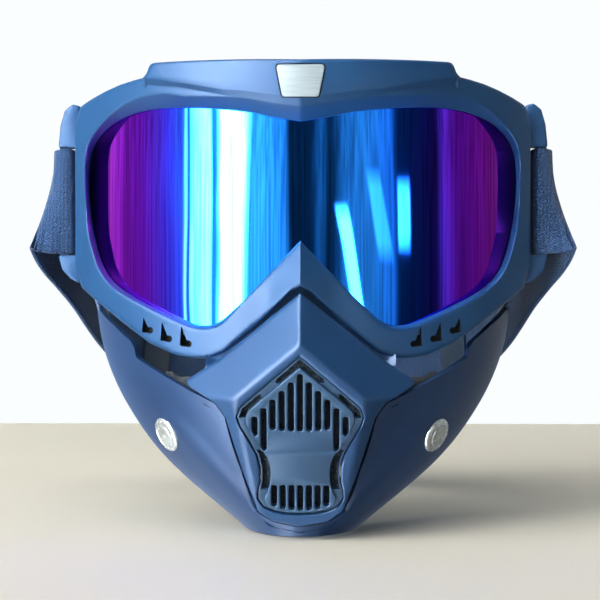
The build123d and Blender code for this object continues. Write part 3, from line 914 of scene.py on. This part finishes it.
# ---- strap ----------------------------------------------------------------------------------
# One length of 40 mm woven elastic. Each end is folded round its side bar from the front and sewn
# back on itself, and the loop hangs behind, with its lower edge flared where it leaves the bar.

strap_width = 40.0
strap_wall = 1.7
pivot_y, strap_mid = 3.0, 7.75
droop = math.radians(38)
lay = Vector((0, math.sin(droop), math.cos(droop)))


def drooped(x, back):
    """Point of the loop's middle line: back is its distance behind the pivot before it droops."""
    return Vector((x, pivot_y + back * math.cos(droop), strap_mid - back * math.sin(droop)))


upright = Vector((0, 0, 1))
strap_stations = [
    # (middle of the strap, the way its width lies)
    (Vector((94.6, 6.5, strap_mid)), upright), (Vector((93.4, 6.25, strap_mid)), upright),
    (Vector((91.2, 6.15, strap_mid)), upright), (Vector((89.3, 5.6, strap_mid)), upright),
    (Vector((88.5, 4.2, strap_mid)), upright), (Vector((88.5, 1.8, strap_mid)), upright),
    (Vector((89.2, 0.4, strap_mid)), upright), (Vector((91.2, -0.1, strap_mid)), Vector((-0.03, 0, 1))),
    (Vector((93.5, 0.2, strap_mid)), Vector((-0.10, 0.02, 1))),
    (Vector((95.9, 1.3, 7.6)), Vector((-0.17, 0.06, 1))),
    (Vector((97.8, 3.3, 7.3)), Vector((-0.25, 0.15, 1))),
    (Vector((98.9, 6.2, 6.3)), Vector((-0.25, 0.28, 1))),
    (Vector((99.3, 9.6, 3.8)), Vector((-0.22, 0.45, 1))),
    (Vector((99.0, 13.9, -0.4)), Vector((-0.17, 0.62, 1))),
    (Vector((98.0, 18.8, -4.6)), Vector((-0.10, 0.74, 1))),
    (drooped(95.6, 28), Vector((-0.05, 0.78, 1))), (drooped(92.0, 40), lay), (drooped(88.2, 54), lay),
]
loop_radius, loop_middle = 89.7, 36.2


def on_loop(angle):
    """Point of the round rear of the strap; the angle is 0 in the middle of the back."""
    return drooped(loop_radius * math.sin(angle), loop_middle + loop_radius * math.cos(angle))


strap_stations += [(on_loop(math.radians(degrees)), lay) for degrees in range(72, -1, -6)]


def spline_through(points, parts):
    """Smooth line in space through points."""
    line = []
    for i in range(len(points) - 1):
        b, c = points[i], points[i + 1]
        a = points[i - 1] if i else b * 2 - c
        d = points[i + 2] if i + 2 < len(points) else c * 2 - b
        line += between(a, b, c, d, parts)
    return line + [points[-1]]


right_middle = spline_through([p for p, w in strap_stations], 5)
right_lay = spline_through([w for p, w in strap_stations], 5)
middle_line = right_middle + [Vector((-p.x, p.y, p.z)) for p in reversed(right_middle[:-1])]
lay_line = right_lay + [Vector((-w.x, w.y, w.z)) for w in reversed(right_lay[:-1])]
strap_length = measure(middle_line)

strap_section = [(-1, 0.5), (-0.985, 0.92)] + [(k / 9, 1.0) for k in range(-8, 9)] + [(0.985, 0.92), (1, 0.5)]
strap_section += [(a, -b) for a, b in reversed(strap_section)]
columns = []
for i, (spot, lie_way) in enumerate(zip(middle_line, lay_line)):
    ahead = middle_line[min(i + 1, len(middle_line) - 1)] - middle_line[max(i - 1, 0)]
    ahead.normalize()
    across = (lie_way - ahead * lie_way.dot(ahead)).normalized()
    out = across.cross(ahead)
    slack = 0.35 * noise.noise(Vector((strap_length[i] * 0.05, 3.1, 0.7)))
    column = []
    for a, b in strap_section:
        sag = slack * (1 - a * a) if 20 < strap_length[i] < strap_length[-1] - 20 else 0.0
        column.append(spot + across * (a * strap_width / 2) + out * (b * strap_wall / 2 + sag))
    columns.append(column)
points, faces = strips(columns, False, True)
size = len(strap_section)
faces += [tuple(range(size - 1, -1, -1)), tuple(range(len(points) - size, len(points)))]

elastic, tree, output = new_material("polyester_elastic_webbing_woven")
weave = node(tree, "UVMap", uv_map="weave").outputs["UV"]
axes = node(tree, "SeparateXYZ", {0: weave})
rib = node(tree, "Math", {0: axes.outputs["Y"], 1: 2 * math.pi / 0.0013}, operation="MULTIPLY").outputs[0]
wale = node(tree, "Math", {0: axes.outputs["X"], 1: 2 * math.pi / 0.0011}, operation="MULTIPLY").outputs[0]
rib_wave = node(tree, "Math", {0: rib}, operation="SINE").outputs[0]
wale_wave = node(tree, "Math", {0: wale}, operation="SINE").outputs[0]
crossing = node(tree, "Math", {0: rib_wave, 1: wale_wave}, operation="MULTIPLY").outputs[0]
yarn = node(tree, "Math", {0: rib_wave, 1: 0.6, 2: crossing}, operation="MULTIPLY_ADD").outputs[0]
fuzz = node(tree, "TexNoise", {"Vector": weave, "Scale": 1600.0, "Detail": 3.0}).outputs["Fac"]
thread = node(tree, "Math", {0: yarn, 1: 0.25, 2: fuzz}, operation="MULTIPLY_ADD").outputs[0]
tone = ramp(tree, thread, [(0.15, linear("0a1f37")), (0.55, linear("103158")), (0.95, linear("1c446e"))])
relief = node(tree, "Bump", {"Strength": 0.8, "Distance": 0.0003, "Height": thread}).outputs[0]
skin = node(
    tree,
    "BsdfPrincipled",
    {"Base Color": tone, "Roughness": 0.85, "Normal": relief, "Sheen Weight": 0.12, "Sheen Roughness": 0.5},
)
finish_material(tree, output, skin)


def weave_map(made, size, lengths, places):
    """UV map in metres, across and along a ribbon whose points come in rows of one size."""
    layer = made.data.uv_layers.new(name="weave")
    for loop in made.data.loops:
        row, k = divmod(loop.vertex_index, size)
        layer.data[loop.index].uv = (places[k] * 0.001, lengths[row] * 0.001)


strap_mesh = bpy.data.meshes.new("strap")
strap_mesh.from_pydata([p * 0.001 for p in points], [], faces)
strap = add_object("head_strap_elastic", strap_mesh)
strap_mesh.materials.append(elastic)
weave_map(strap, size, strap_length, [a * strap_width / 2 for a, b in strap_section])
tidy_normals(strap, 60.0)
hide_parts("strap_band", "strap_end_left", "strap_end_right")
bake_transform(strap)

# ---- strap sliders --------------------------------------------------------------------------
# Moulded acetal loops that the strap runs through, with rounded ends and softened edges.



def centred(half_wide, half_tall):
    """Corners of a rectangle round the origin, from the lower left."""
    return [(x * half_wide, z * half_tall) for x, z in ((-1, -1), (1, -1), (1, 1), (-1, 1))]


acetal = satin_plastic("acetal_moulded_satin", "16283c", "1e3348", 0.38, 0.5)
slider_turn = math.radians(48)
slider_half_length = 7.0
through = 20  # cutters run this far past the loop each way
waist_line = [(3.9, -13), (2.9, -12), (2.9, 12), (3.9, 13)]
for side, name, body in ((1, "right", "right_slider"), (-1, "left", "left_slider")):
    loop = prism(rounded_outline(centred(3.5, 23.7), 2.6), -slider_half_length, slider_half_length)
    loop.data.materials.append(acetal)
    cutters = [prism(rounded_outline(centred(1.75, 20.75), 1.0), -through, through)]
    for way in (-1, 1):
        waist = [(way * x, z) for x, z in waist_line]
        cutters.append(prism(rounded_outline(waist, 0.4), -through, through))
    cut(loop, cutters)
    soften(loop, 0.45)
    loop.name = "strap_slider_" + name
    way = Matrix.Rotation(-droop, 4, "X") @ Matrix.Rotation(math.radians(90) - slider_turn, 4, "Z")
    shape = Matrix.Translation(on_loop(slider_turn) * 0.001) @ way
    if side < 0:
        shape = Matrix.Scale(-1, 4, (1, 0, 0)) @ shape
    loop.data.transform(shape)
    tidy_normals(loop, 40.0)
    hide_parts("slider_" + name)
    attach(loop, body)

# ---- mask shell -----------------------------------------------------------------------------
# Moulded nylon shell for the lower face, 2 mm thick, open where the muzzle panel sits. An arm on
# each side forks over the stud of the skirt.

mask_rows = [
    (-30.0, 83.0, -47.0, 33.0), (-50.0, 79.0, -51.5, 31.0), (-70.0, 69.5, -52.5, 26.0),
    (-90.0, 52.5, -50.5, 12.0), (-113.0, 21.5, -44.0, -12.0),
]
shell_edge = [
    (82.0, -31.2), (79, -33), (70.0, -39.6), (62.6, -45.0), (61.0, -47.5), (60.4, -51.0), (32.4, -65.2),
]
panel_half = [
    (0, -27.6), (28.4, -50.6), (41.0, -58.6), (29.3, -65.3), (25.6, -70.5), (19.9, -88.9), (14.6, -103.0),
    (9.5, -106.6), (0, -108.4),
]
groove = 1.3  # gap round the panel, with a shelf of the shell under it


def mask_row(z):
    """Half width, front and back of the mask at a height, smooth through the rows above."""
    rows = mask_rows
    z = min(max(z, rows[-1][0]), rows[0][0])
    i = next(k for k in range(len(rows) - 1) if z >= rows[k + 1][0] - 1e-6)
    span = rows[i + 1][0] - rows[i][0]
    t = (z - rows[i][0]) / span

    def slope(upper, lower, c):
        return (rows[lower][c] - rows[upper][c]) / (rows[lower][0] - rows[upper][0]) * span

    found = []
    for c in (1, 2, 3):
        before = slope(max(i - 1, 0), i + 1, c)
        after = slope(i, min(i + 2, len(rows) - 1), c)
        start = (2 * t**3 - 3 * t**2 + 1) * rows[i][c] + (t**3 - 2 * t**2 + t) * before
        found.append(start + (3 * t**2 - 2 * t**3) * rows[i + 1][c] + (t**3 - t**2) * after)
    return found


def mask_point(turn, z, inside=0.0):
    """Point of the mask's outside, or that far inside it; turn is 0 at the front and 90 at the ear."""
    half, front, back = mask_row(z)
    half, front = half - inside, front + inside
    angle = math.radians(turn)
    y = back - (back - front) * max(math.cos(angle), 0.0) ** 0.85
    return Vector((half * math.sin(angle), y, z))


def mask_turn(x, z):
    return math.degrees(math.asin(min(x / mask_row(z)[0], 1.0)))


ear_scale = 1.2  # so that a degree of turn counts as about a millimetre


def flat_place(x, z):
    return Vector((mask_turn(x, z) * ear_scale, z))


rim_line = grown([Vector(p) for p in panel_half], groove)[3:]
free_edge = rounded(shell_edge, 2.0)
inner_edge = [flat_place(p.x, p.y) for p in free_edge + rounded([Vector((31.4, -65.7))] + rim_line, 1.8)[1:]]
inner_edge[-1].x = 0.0
outer_edge = [Vector((90 * ear_scale, -31.2)), Vector((90 * ear_scale, -113.0)), Vector((0, -113.0))]
outer_edge = rounded(outer_edge, 9.0)
free_end = flat_place(32.4, -65.2)
shell_pairs = [
    (flat_place(82.0, -31.2), outer_edge[0]), (flat_place(60.4, -51.0), (90 * ear_scale, -56.0)),
    (free_end, (90 * ear_scale, -74.0)), (flat_place(20.5, -91.0), (90 * ear_scale, -98.0)),
    (flat_place(15.4, -104.6), (70, -113.0)), (flat_place(9.9, -107.9), (35, -113.0)),
    (inner_edge[-1], (0, -113.0)),
]
columns = []
across_count = 52
for p, q in matched(inner_edge, outer_edge, shell_pairs, 1.1):
    way = (q - p).normalized()
    shelf = ease(-64.6, -66.6, p.y)
    column = []
    for back, sunk in ((3.2, 3.6), (0.1, 3.6), (0.0, 3.3), (0.0, 0.55), (0.25, 0.12)):
        spot = p - way * back * shelf + way * (0.0 if back > 0.2 or sunk > 0.5 else back)
        column.append(mask_point(max(spot.x, 0.0) / ear_scale, spot.y, sunk * shelf))
    for k in range(1, across_count + 1):
        spot = p + (q - p) * (0.6 + (across_count - 0.6) * k / across_count) / across_count
        x = mask_row(spot.y)[0] * math.sin(math.radians(spot.x / ear_scale))
        # a soft crease runs down the cheek from the wing of the muzzle to the chin
        line = 47 + (spot.y + 73) * 0.96
        crease = ease(8.0, 0.0, abs(x - line)) * ease(-64, -76, spot.y) * ease(-112, -104, spot.y)
        column.append(mask_point(spot.x / ear_scale, spot.y) + Vector((0.0, -0.9, 0)) * crease)
    columns.append(column)
points, faces = strips(columns, False, False)
shell_mould = satin_plastic("nylon_moulded_satin_shell", "172f52", "1e375b", 0.45)
shell = piece("mask_cheek_shell", points, faces, shell_mould, 60.0)
flip = shell.modifiers.new("other_side", "MIRROR")
flip.use_mirror_merge = True
flip.merge_threshold = 0.0001
apply_modifiers(shell)
tidy_normals(shell, 60.0)
thicken(shell, 2.0)
tidy_normals(shell, 45.0)
soften(shell, 0.45, 2, 55.0)
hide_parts("cheek_shell")
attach(shell, "mask")

arm_line = [(75.2, -46), (83.2, -22), (83.2, -12), (81.2, -12), (81.2, -22), (73.2, -46)]
arm_front, arm_back = 4.7, 17.0
fork_front, fork_back, fork_foot, fork_top = 7.7, 12.3, -18, 10
fork_line = [
    (fork_front, fork_top), (fork_front, fork_foot), (fork_back, fork_foot), (fork_back, fork_top),
]
fork_reach = 95  # past both arms
sideways = Matrix(((0, 1, 0, 0), (1, 0, 0, 0), (0, 0, 1, 0), (0, 0, 0, 1)))
for side, name in ((1, "right"), (-1, "left")):
    arm = prism(rounded_outline([(side * x, z) for x, z in arm_line], 0.8), arm_front, arm_back)
    arm.data.materials.append(shell_mould)
    slot = prism(rounded_outline(fork_line, 2.29), -fork_reach, fork_reach)
    slot.data.transform(sideways)
    face_out(slot.data)
    cut(arm, [slot])
    soften(arm, 0.5)
    arm.name = "mask_arm_" + name
    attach(arm, "mask")

# ---- muzzle panel ---------------------------------------------------------------------------
# Faceted nose and mouth cover, moulded separately and fixed in the opening of the shell, with a
# recess in its flat front for the grille.

plate_y, plate_z, plate_slope = -63.5, -45.2, -0.197
plate_middle = -76.0
plate_tilt = math.atan(plate_slope)
recess_half = [
    (0, 27.5), (20.6, 9.4), (21.8, 6.2), (20.8, 3.0), (17.3, -3.2), (15.0, -7.5), (13.9, -12.1),
    (13.9, -16.8), (14.8, -20.4), (14.8, -23.2), (12.9, -26.0), (9.1, -27.7), (4.7, -28.5), (0, -28.7),
]


def panel_y(x, z):
    """Front of the faceted muzzle: the hindmost of its planes, with the ridges between them eased."""
    a = abs(x)
    flat = plate_y + plate_slope * (z - plate_z)
    nose = plate_y + 0.467 * (z - plate_z) + 0.552 * math.sqrt(a * a + 0.3)
    low = flat + 0.6 * (a - (15.5 + 0.194 * (z + 100.0)))
    return soft_max(soft_max(flat, nose, 0.9), low, 0.9)


def plate_xz(p):
    """Front view place of a point on the muzzle's flat front."""
    return Vector((p[0], plate_middle + p[1] * math.cos(plate_tilt)))


panel_edge = rounded(panel_half, 1.6)
recess_edge = [plate_xz(p) for p in rounded(recess_half, 1.4)]
panel_pairs = [
    ((0, -49.0), (0, -27.6)), ((10, -57.8), (14.2, -39.1)), ((18.6, -65.0), (28.4, -50.6)),
    ((20.8, -67.2), (40.2, -58.6)), ((21.6, -70.0), (31.5, -64.0)), ((20.6, -73.2), (26.2, -69.6)),
    ((15.0, -83.4), (22.8, -79.6)),
    ((13.9, -90.0), (18.9, -91.5)), ((14.8, -96.0), (17.4, -95.6)), ((14.6, -99.0), (15.9, -99.5)),
    ((11.5, -102.4), (11.5, -105.2)), ((0, -104.2), (0, -108.4)),
]


def panel_column(p, q):
    """Section of the panel from the recess edge p to the outer edge q, as a closed loop."""
    reach = (q - p).length
    way = (q - p) / reach
    column = []

    def add(distance, back, y=None):
        spot = p + way * distance
        column.append(Vector((spot.x, (panel_y(spot.x, spot.y) if y is None else y) + back, spot.y)))

    add(0, 3.4)
    add(0, 0.55)
    add(0.2, 0.18)
    add(0.6, 0)
    for k in range(1, 20):
        add(0.6 + (reach - 1.3) * k / 20, 0)
    add(reach - 0.7, 0)
    add(reach - 0.22, 0.2)
    add(reach, 0.7)
    # under the eye frame the rim runs back and turns up into a lip, which closes the gap to it
    lip = ease(-54.0, -51.5, q.y)
    rim_y = panel_y(q.x, q.y) + 5.6 + 2.6 * ease(-60.0, -68.0, q.y)
    rim_y += (max(rim_y, -41.6) - rim_y) * lip
    add(reach, 0.1, rim_y - 1.4)
    add(reach + 5.0 * lip, 0.3, rim_y - 1.4)
    add(reach + 5.0 * lip, 0.0, rim_y)
    add(reach - 1.6, 0.0, rim_y)
    add(reach - 1.7, 2.4)
    for k in range(1, 4):
        add((reach - 1.7) * (1 - k / 4), 2.4)
    add(0.3, 3.4)
    return column


panel_mould = satin_plastic("nylon_moulded_satin_muzzle", "14365d", "1a3f67", 0.42)
panel = piece(
    "muzzle_panel",
    *ring_of([panel_column(p, q) for p, q in matched(recess_edge, panel_edge, panel_pairs, 0.9)]),
    panel_mould,
    35.0,
)
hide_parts("snout_panel")
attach(panel, "mask")

# ---- mouth grille ---------------------------------------------------------------------------
# One moulded plate that drops into the recess: a raised face with two rows of slots, on a thin rim
# with windows that show the filter foam.


def plate_piece(name, outline, holes, low, high, edge, material):
    """Flat piece with holes, parallel to the muzzle's flat front, between two heights above it."""
    curve = bpy.data.curves.new(name, "CURVE")
    curve.dimensions = "2D"
    curve.fill_mode = "BOTH"
    curve.bevel_depth = edge * 0.001
    curve.bevel_resolution = 2
    curve.offset = -edge * 0.001
    curve.extrude = ((high - low) / 2 - edge) * 0.001
    for line in [outline] + holes:
        spline = curve.splines.new("POLY")
        spline.points.add(len(line) - 1)
        for point, p in zip(spline.points, line):
            point.co = (p[0] * 0.001, p[1] * 0.001, 0, 1)
        spline.use_cyclic_u = True
    drawn = add_object(name + "_line", curve)
    bpy.context.view_layer.update()
    mesh = bpy.data.meshes.new_from_object(drawn.evaluated_get(bpy.context.evaluated_depsgraph_get()))
    bpy.data.objects.remove(drawn)
    made = add_object(name, mesh)
    up = Vector((0, plate_slope, 1)).normalized()
    out = Vector((1, 0, 0)).cross(up)
    flat_middle = Vector((0, plate_y + plate_slope * (plate_middle - plate_z), plate_middle))
    origin = flat_middle + out * (low + high) / 2
    shape = Matrix((Vector((1, 0, 0)), up, out)).transposed().to_4x4()
    mesh.transform(Matrix.Translation(origin * 0.001) @ shape)
    mesh.materials.clear()
    mesh.materials.append(material)
    tidy_normals(made, 30.0)
    return made


def shrunk(half, amount):
    return whole(grown([Vector(p) for p in half], -amount))


def box_corners(x, top, foot, wide):
    """Corners of an upright rectangle round x, clockwise from the top left."""
    left, right = x - wide / 2, x + wide / 2
    return [Vector((left, top)), Vector((right, top)), Vector((right, foot)), Vector((left, foot))]


def slot_line(x, top, foot):
    """Upright slot of the grille with rounded ends."""
    return rounded_outline(box_corners(x, top, foot, slot_wide), slot_round, 3)


def recess_line(gap, radius):
    """Outline that follows the recess at that distance inside its edge."""
    return rounded_outline(shrunk(recess_half, gap), radius, 3)


face_half = [
    (0, 23.6), (7.8, 16.9), (12.9, 12.7), (17.7, 8.3), (18.6, 6.2), (18.3, 3.8), (13.4, -4.9), (11.4, -7.8),
    (10.4, -10.5), (10.1, -14.0), (10.4, -17.6), (11.2, -20.4), (12.4, -22.6), (11.4, -25.2), (8.6, -26.7),
    (4.5, -27.5), (0, -27.7),
]
slot_wide, slot_round, upper_pitch, lower_pitch = 2.0, 0.95, 3.1, 3.0
upper_feet = [1.3, 1.3, 1.5, 1.8, -5.6, -0.4]
lower_feet = [-27.0, -26.9, -26.5, -25.5]
grille_slots = [slot_line(i * upper_pitch, 21.5 - 3.0 * abs(i), upper_feet[abs(i)]) for i in range(-5, 6)]
grille_slots += [slot_line(i * lower_pitch, -17.8, lower_feet[abs(i)]) for i in range(-3, 4)]
grille_mould = satin_plastic("nylon_moulded_satin_grille", "2a4563", "32506e", 0.40)
face_edge = rounded_outline(whole(face_half), 0.9, 3)
grille = plate_piece("mouth_grille", face_edge, grille_slots, -3.2, 0.5, 0.28, grille_mould)
rim = plate_piece("mouth_grille_rim", recess_line(0.3, 0.8), [face_edge], -3.2, -0.9, 0.15, grille_mould)
window_places = [
    # (middle across, middle up, width, height) of each window, before the rim's outer band is left
    (0, 24.0, 16.4, 12.0), (-17.3, 9.9, 8.4, 8.2), (17.3, 9.9, 8.4, 8.2), (0, -12.6, 44, 14.2),
]
windows = []
for x, up, wide, tall in window_places:
    box = box_corners(x, up + tall / 2, up - tall / 2, wide)
    window = plate_piece("window", box, [], -5.0, 2.0, 0.0, grille_mould)
    inside_band = plate_piece("inside_band", recess_line(0.9, 0.6), [], -6.0, 3.0, 0.0, grille_mould)
    overlap = window.modifiers.new("overlap", "BOOLEAN")
    overlap.operation, overlap.solver, overlap.object = "INTERSECT", "EXACT", inside_band
    apply_modifiers(window)
    bpy.data.objects.remove(inside_band)
    windows.append(window)
cut(rim, windows, 30.0)
# the wall of the pocket belongs to the muzzle panel and stands round the grille and the filter
pocket_wall = plate_piece(
    "muzzle_pocket_wall", recess_line(-1.6, 1.6), [recess_line(-0.05, 0.8)], -10.2, -1.4, 0.3, panel_mould
)
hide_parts("snout_panel")
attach(pocket_wall, "mask")
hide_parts("mouth_grille")
for part in (grille, rim):
    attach(part, "grille")

# ---- filter and its cover -------------------------------------------------------------------
# A pad of black open-cell foam behind the grille, held from inside by a thin moulded cover with
# breathing holes.

filter_cells = cell_foam("polyurethane_filter_foam_mask", "04070b", "18212b", 1.4, 0.5)
filter_pad = plate_piece("mouth_filter_foam", recess_line(0.4, 1.2), [], -8.4, -3.4, 0.8, filter_cells)
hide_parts("filter_foam")
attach(filter_pad, "mask")

hole_radius, hole_pitch_across, hole_pitch_up = 2.4, 7.0, 8.5
hole_angles = [k * math.pi / 10 for k in range(20)]
breathing_holes = []
for row in range(-2, 3):
    for step in (-1, 0, 1):
        x, up = step * hole_pitch_across, row * hole_pitch_up
        hole = [(x + hole_radius * math.cos(a), up + hole_radius * math.sin(a)) for a in hole_angles]
        breathing_holes.append(hole)
cover_mould = satin_plastic("polypropylene_moulded_satin", "1a2b3c", "24374a", 0.45)
cover = plate_piece(
    "mouth_filter_cover", recess_line(0.3, 1.2), breathing_holes, -10.2, -8.6, 0.3, cover_mould
)
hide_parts("filter_cover")
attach(cover, "mask")

# ---- rivets ---------------------------------------------------------------------------------
# Nickel plated steel snap rivets: a domed cap with a turned ring outside, a flat washer inside.


def lathed(name, profile, material, steps=64):
    """Turned shape about Z from (radius, height) points, from the axis out and back to it."""
    columns = []
    for i in range(steps):
        a = 2 * math.pi * i / steps
        columns.append([Vector((r * math.cos(a), r * math.sin(a), h)) for r, h in profile])
    return piece(name, *strips(columns, True, False), material, 35.0)


nickel, tree, output = new_material("steel_nickel_plated_polished")
spot = node(tree, "TexCoord").outputs["Object"]
scuff = node(tree, "TexNoise", {"Vector": spot, "Scale": 700.0, "Detail": 4.0}).outputs["Fac"]
gloss = node(tree, "MapRange", {"Value": scuff, "To Min": 0.16, "To Max": 0.34}).outputs[0]
tone = ramp(tree, scuff, [(0.3, linear("a9adaa")), (0.7, linear("c6cac9"))])
finish_material(
    tree, output, node(tree, "BsdfPrincipled", {"Base Color": tone, "Metallic": 0.45, "Roughness": gloss})
)
rivet_point, rivet_out = Vector((48.8, -28.7, -78.8)), Vector((0.735, -0.572, -0.363))
cap_profile = [
    (0.0, 1.55), (1.6, 1.5), (3.2, 1.36), (3.7, 1.26), (3.95, 0.98), (4.3, 0.98), (4.6, 1.2), (5.3, 1.05),
    (6.0, 0.72), (6.4, 0.3), (6.5, -0.1), (6.35, -0.35), (5.6, -0.6), (2.0, -0.6), (2.0, -8.6), (0.0, -8.6),
]
washer_profile = [
    (2.02, -8.6), (5.7, -8.6), (6.0, -8.4), (6.0, -7.7), (5.7, -7.5), (2.02, -7.5), (2.02, -8.6),
]
for side, name in ((1, "right"), (-1, "left")):
    for kind, profile, node_name in (
        ("cap", cap_profile, "rivet_caps"),
        ("washer", washer_profile, "rivet_washers"),
    ):
        turned = lathed("rivet_" + kind + "_" + name, profile, nickel)
        stand = rivet_out.to_track_quat("Z", "Y").to_matrix().to_4x4()
        shape = Matrix.Translation(rivet_point * 0.001) @ stand
        if side < 0:
            shape = Matrix.Scale(-1, 4, (1, 0, 0)) @ shape
        turned.data.transform(shape)
        tidy_normals(turned, 35.0)
        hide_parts(node_name)
        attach(turned, "mask")

# ---- cheek pads -----------------------------------------------------------------------------
# Soft foam pads inside the shell, covered in black brushed fabric and held by the rivets.

pad_low, pad_high = -89.0, -55.0


def plump(made, voxel_mm, cap_mm):
    """Blow a pad up as a stuffed cover, by cloth simulation; no point moves further than the cap."""
    even = made.modifiers.new("even", "REMESH")
    even.mode, even.voxel_size = "VOXEL", voxel_mm * 0.001
    apply_modifiers(made)
    before = [v.co.copy() for v in made.data.vertices]
    cover = made.modifiers.new("cover", "CLOTH")
    cover.settings.use_pressure = True
    cover.settings.uniform_pressure_force = 4.0
    cover.settings.effector_weights.gravity = 0.0
    cover.point_cache.frame_start, cover.point_cache.frame_end = 1, 20
    for frame_number in range(1, 21):
        bpy.context.scene.frame_set(frame_number)
    apply_modifiers(made)
    bpy.context.scene.frame_set(1)
    for vertex, old in zip(made.data.vertices, before):
        way = vertex.co - old
        if way.length > cap_mm * 0.001:
            vertex.co = old + way.normalized() * cap_mm * 0.001
    subdivide(made)
    tidy_normals(made, 80.0)


for side, name in ((1, "right"), (-1, "left")):
    columns = []
    rows_count, turns_count = 26, 34
    for i in range(rows_count + 1):
        z = pad_low + (pad_high - pad_low) * i / rows_count
        edge = 2 * i / rows_count - 1
        pull = 1 - (1 - abs(edge) ** 6) ** (1 / 6)
        first = mask_turn(35.0, z) + 8 * pull
        last = 88 - 8 * pull
        front, back = [], []
        for k in range(turns_count + 1):
            place = 2 * k / turns_count - 1
            turn = first + (last - first) * (place + 1) / 2
            crown = ((1 - abs(edge) ** 4) * (1 - abs(place) ** 6)) ** 0.5
            front.append(mask_point(turn, z, 3.3 + 0.3 * (1 - crown)))
            back.append(mask_point(turn, z, 4.0 + 3.4 * crown))
        columns.append(front + back[::-1])
    points, faces = strips(columns, False, True)
    size = len(columns[0])
    for base in (0, len(points) - size):
        for k in range(size // 2 - 1):
            faces.append((base + k, base + k + 1, base + size - 2 - k, base + size - 1 - k))
    points = [Vector((side * p.x, p.y, p.z)) for p in points]
    pad = piece("cheek_pad_" + name + "_soft", points, faces, fleece, 80.0)
    plump(pad, 2.4, 0.9)
    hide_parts("cheek_pad_" + name)
    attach(pad, "mask")
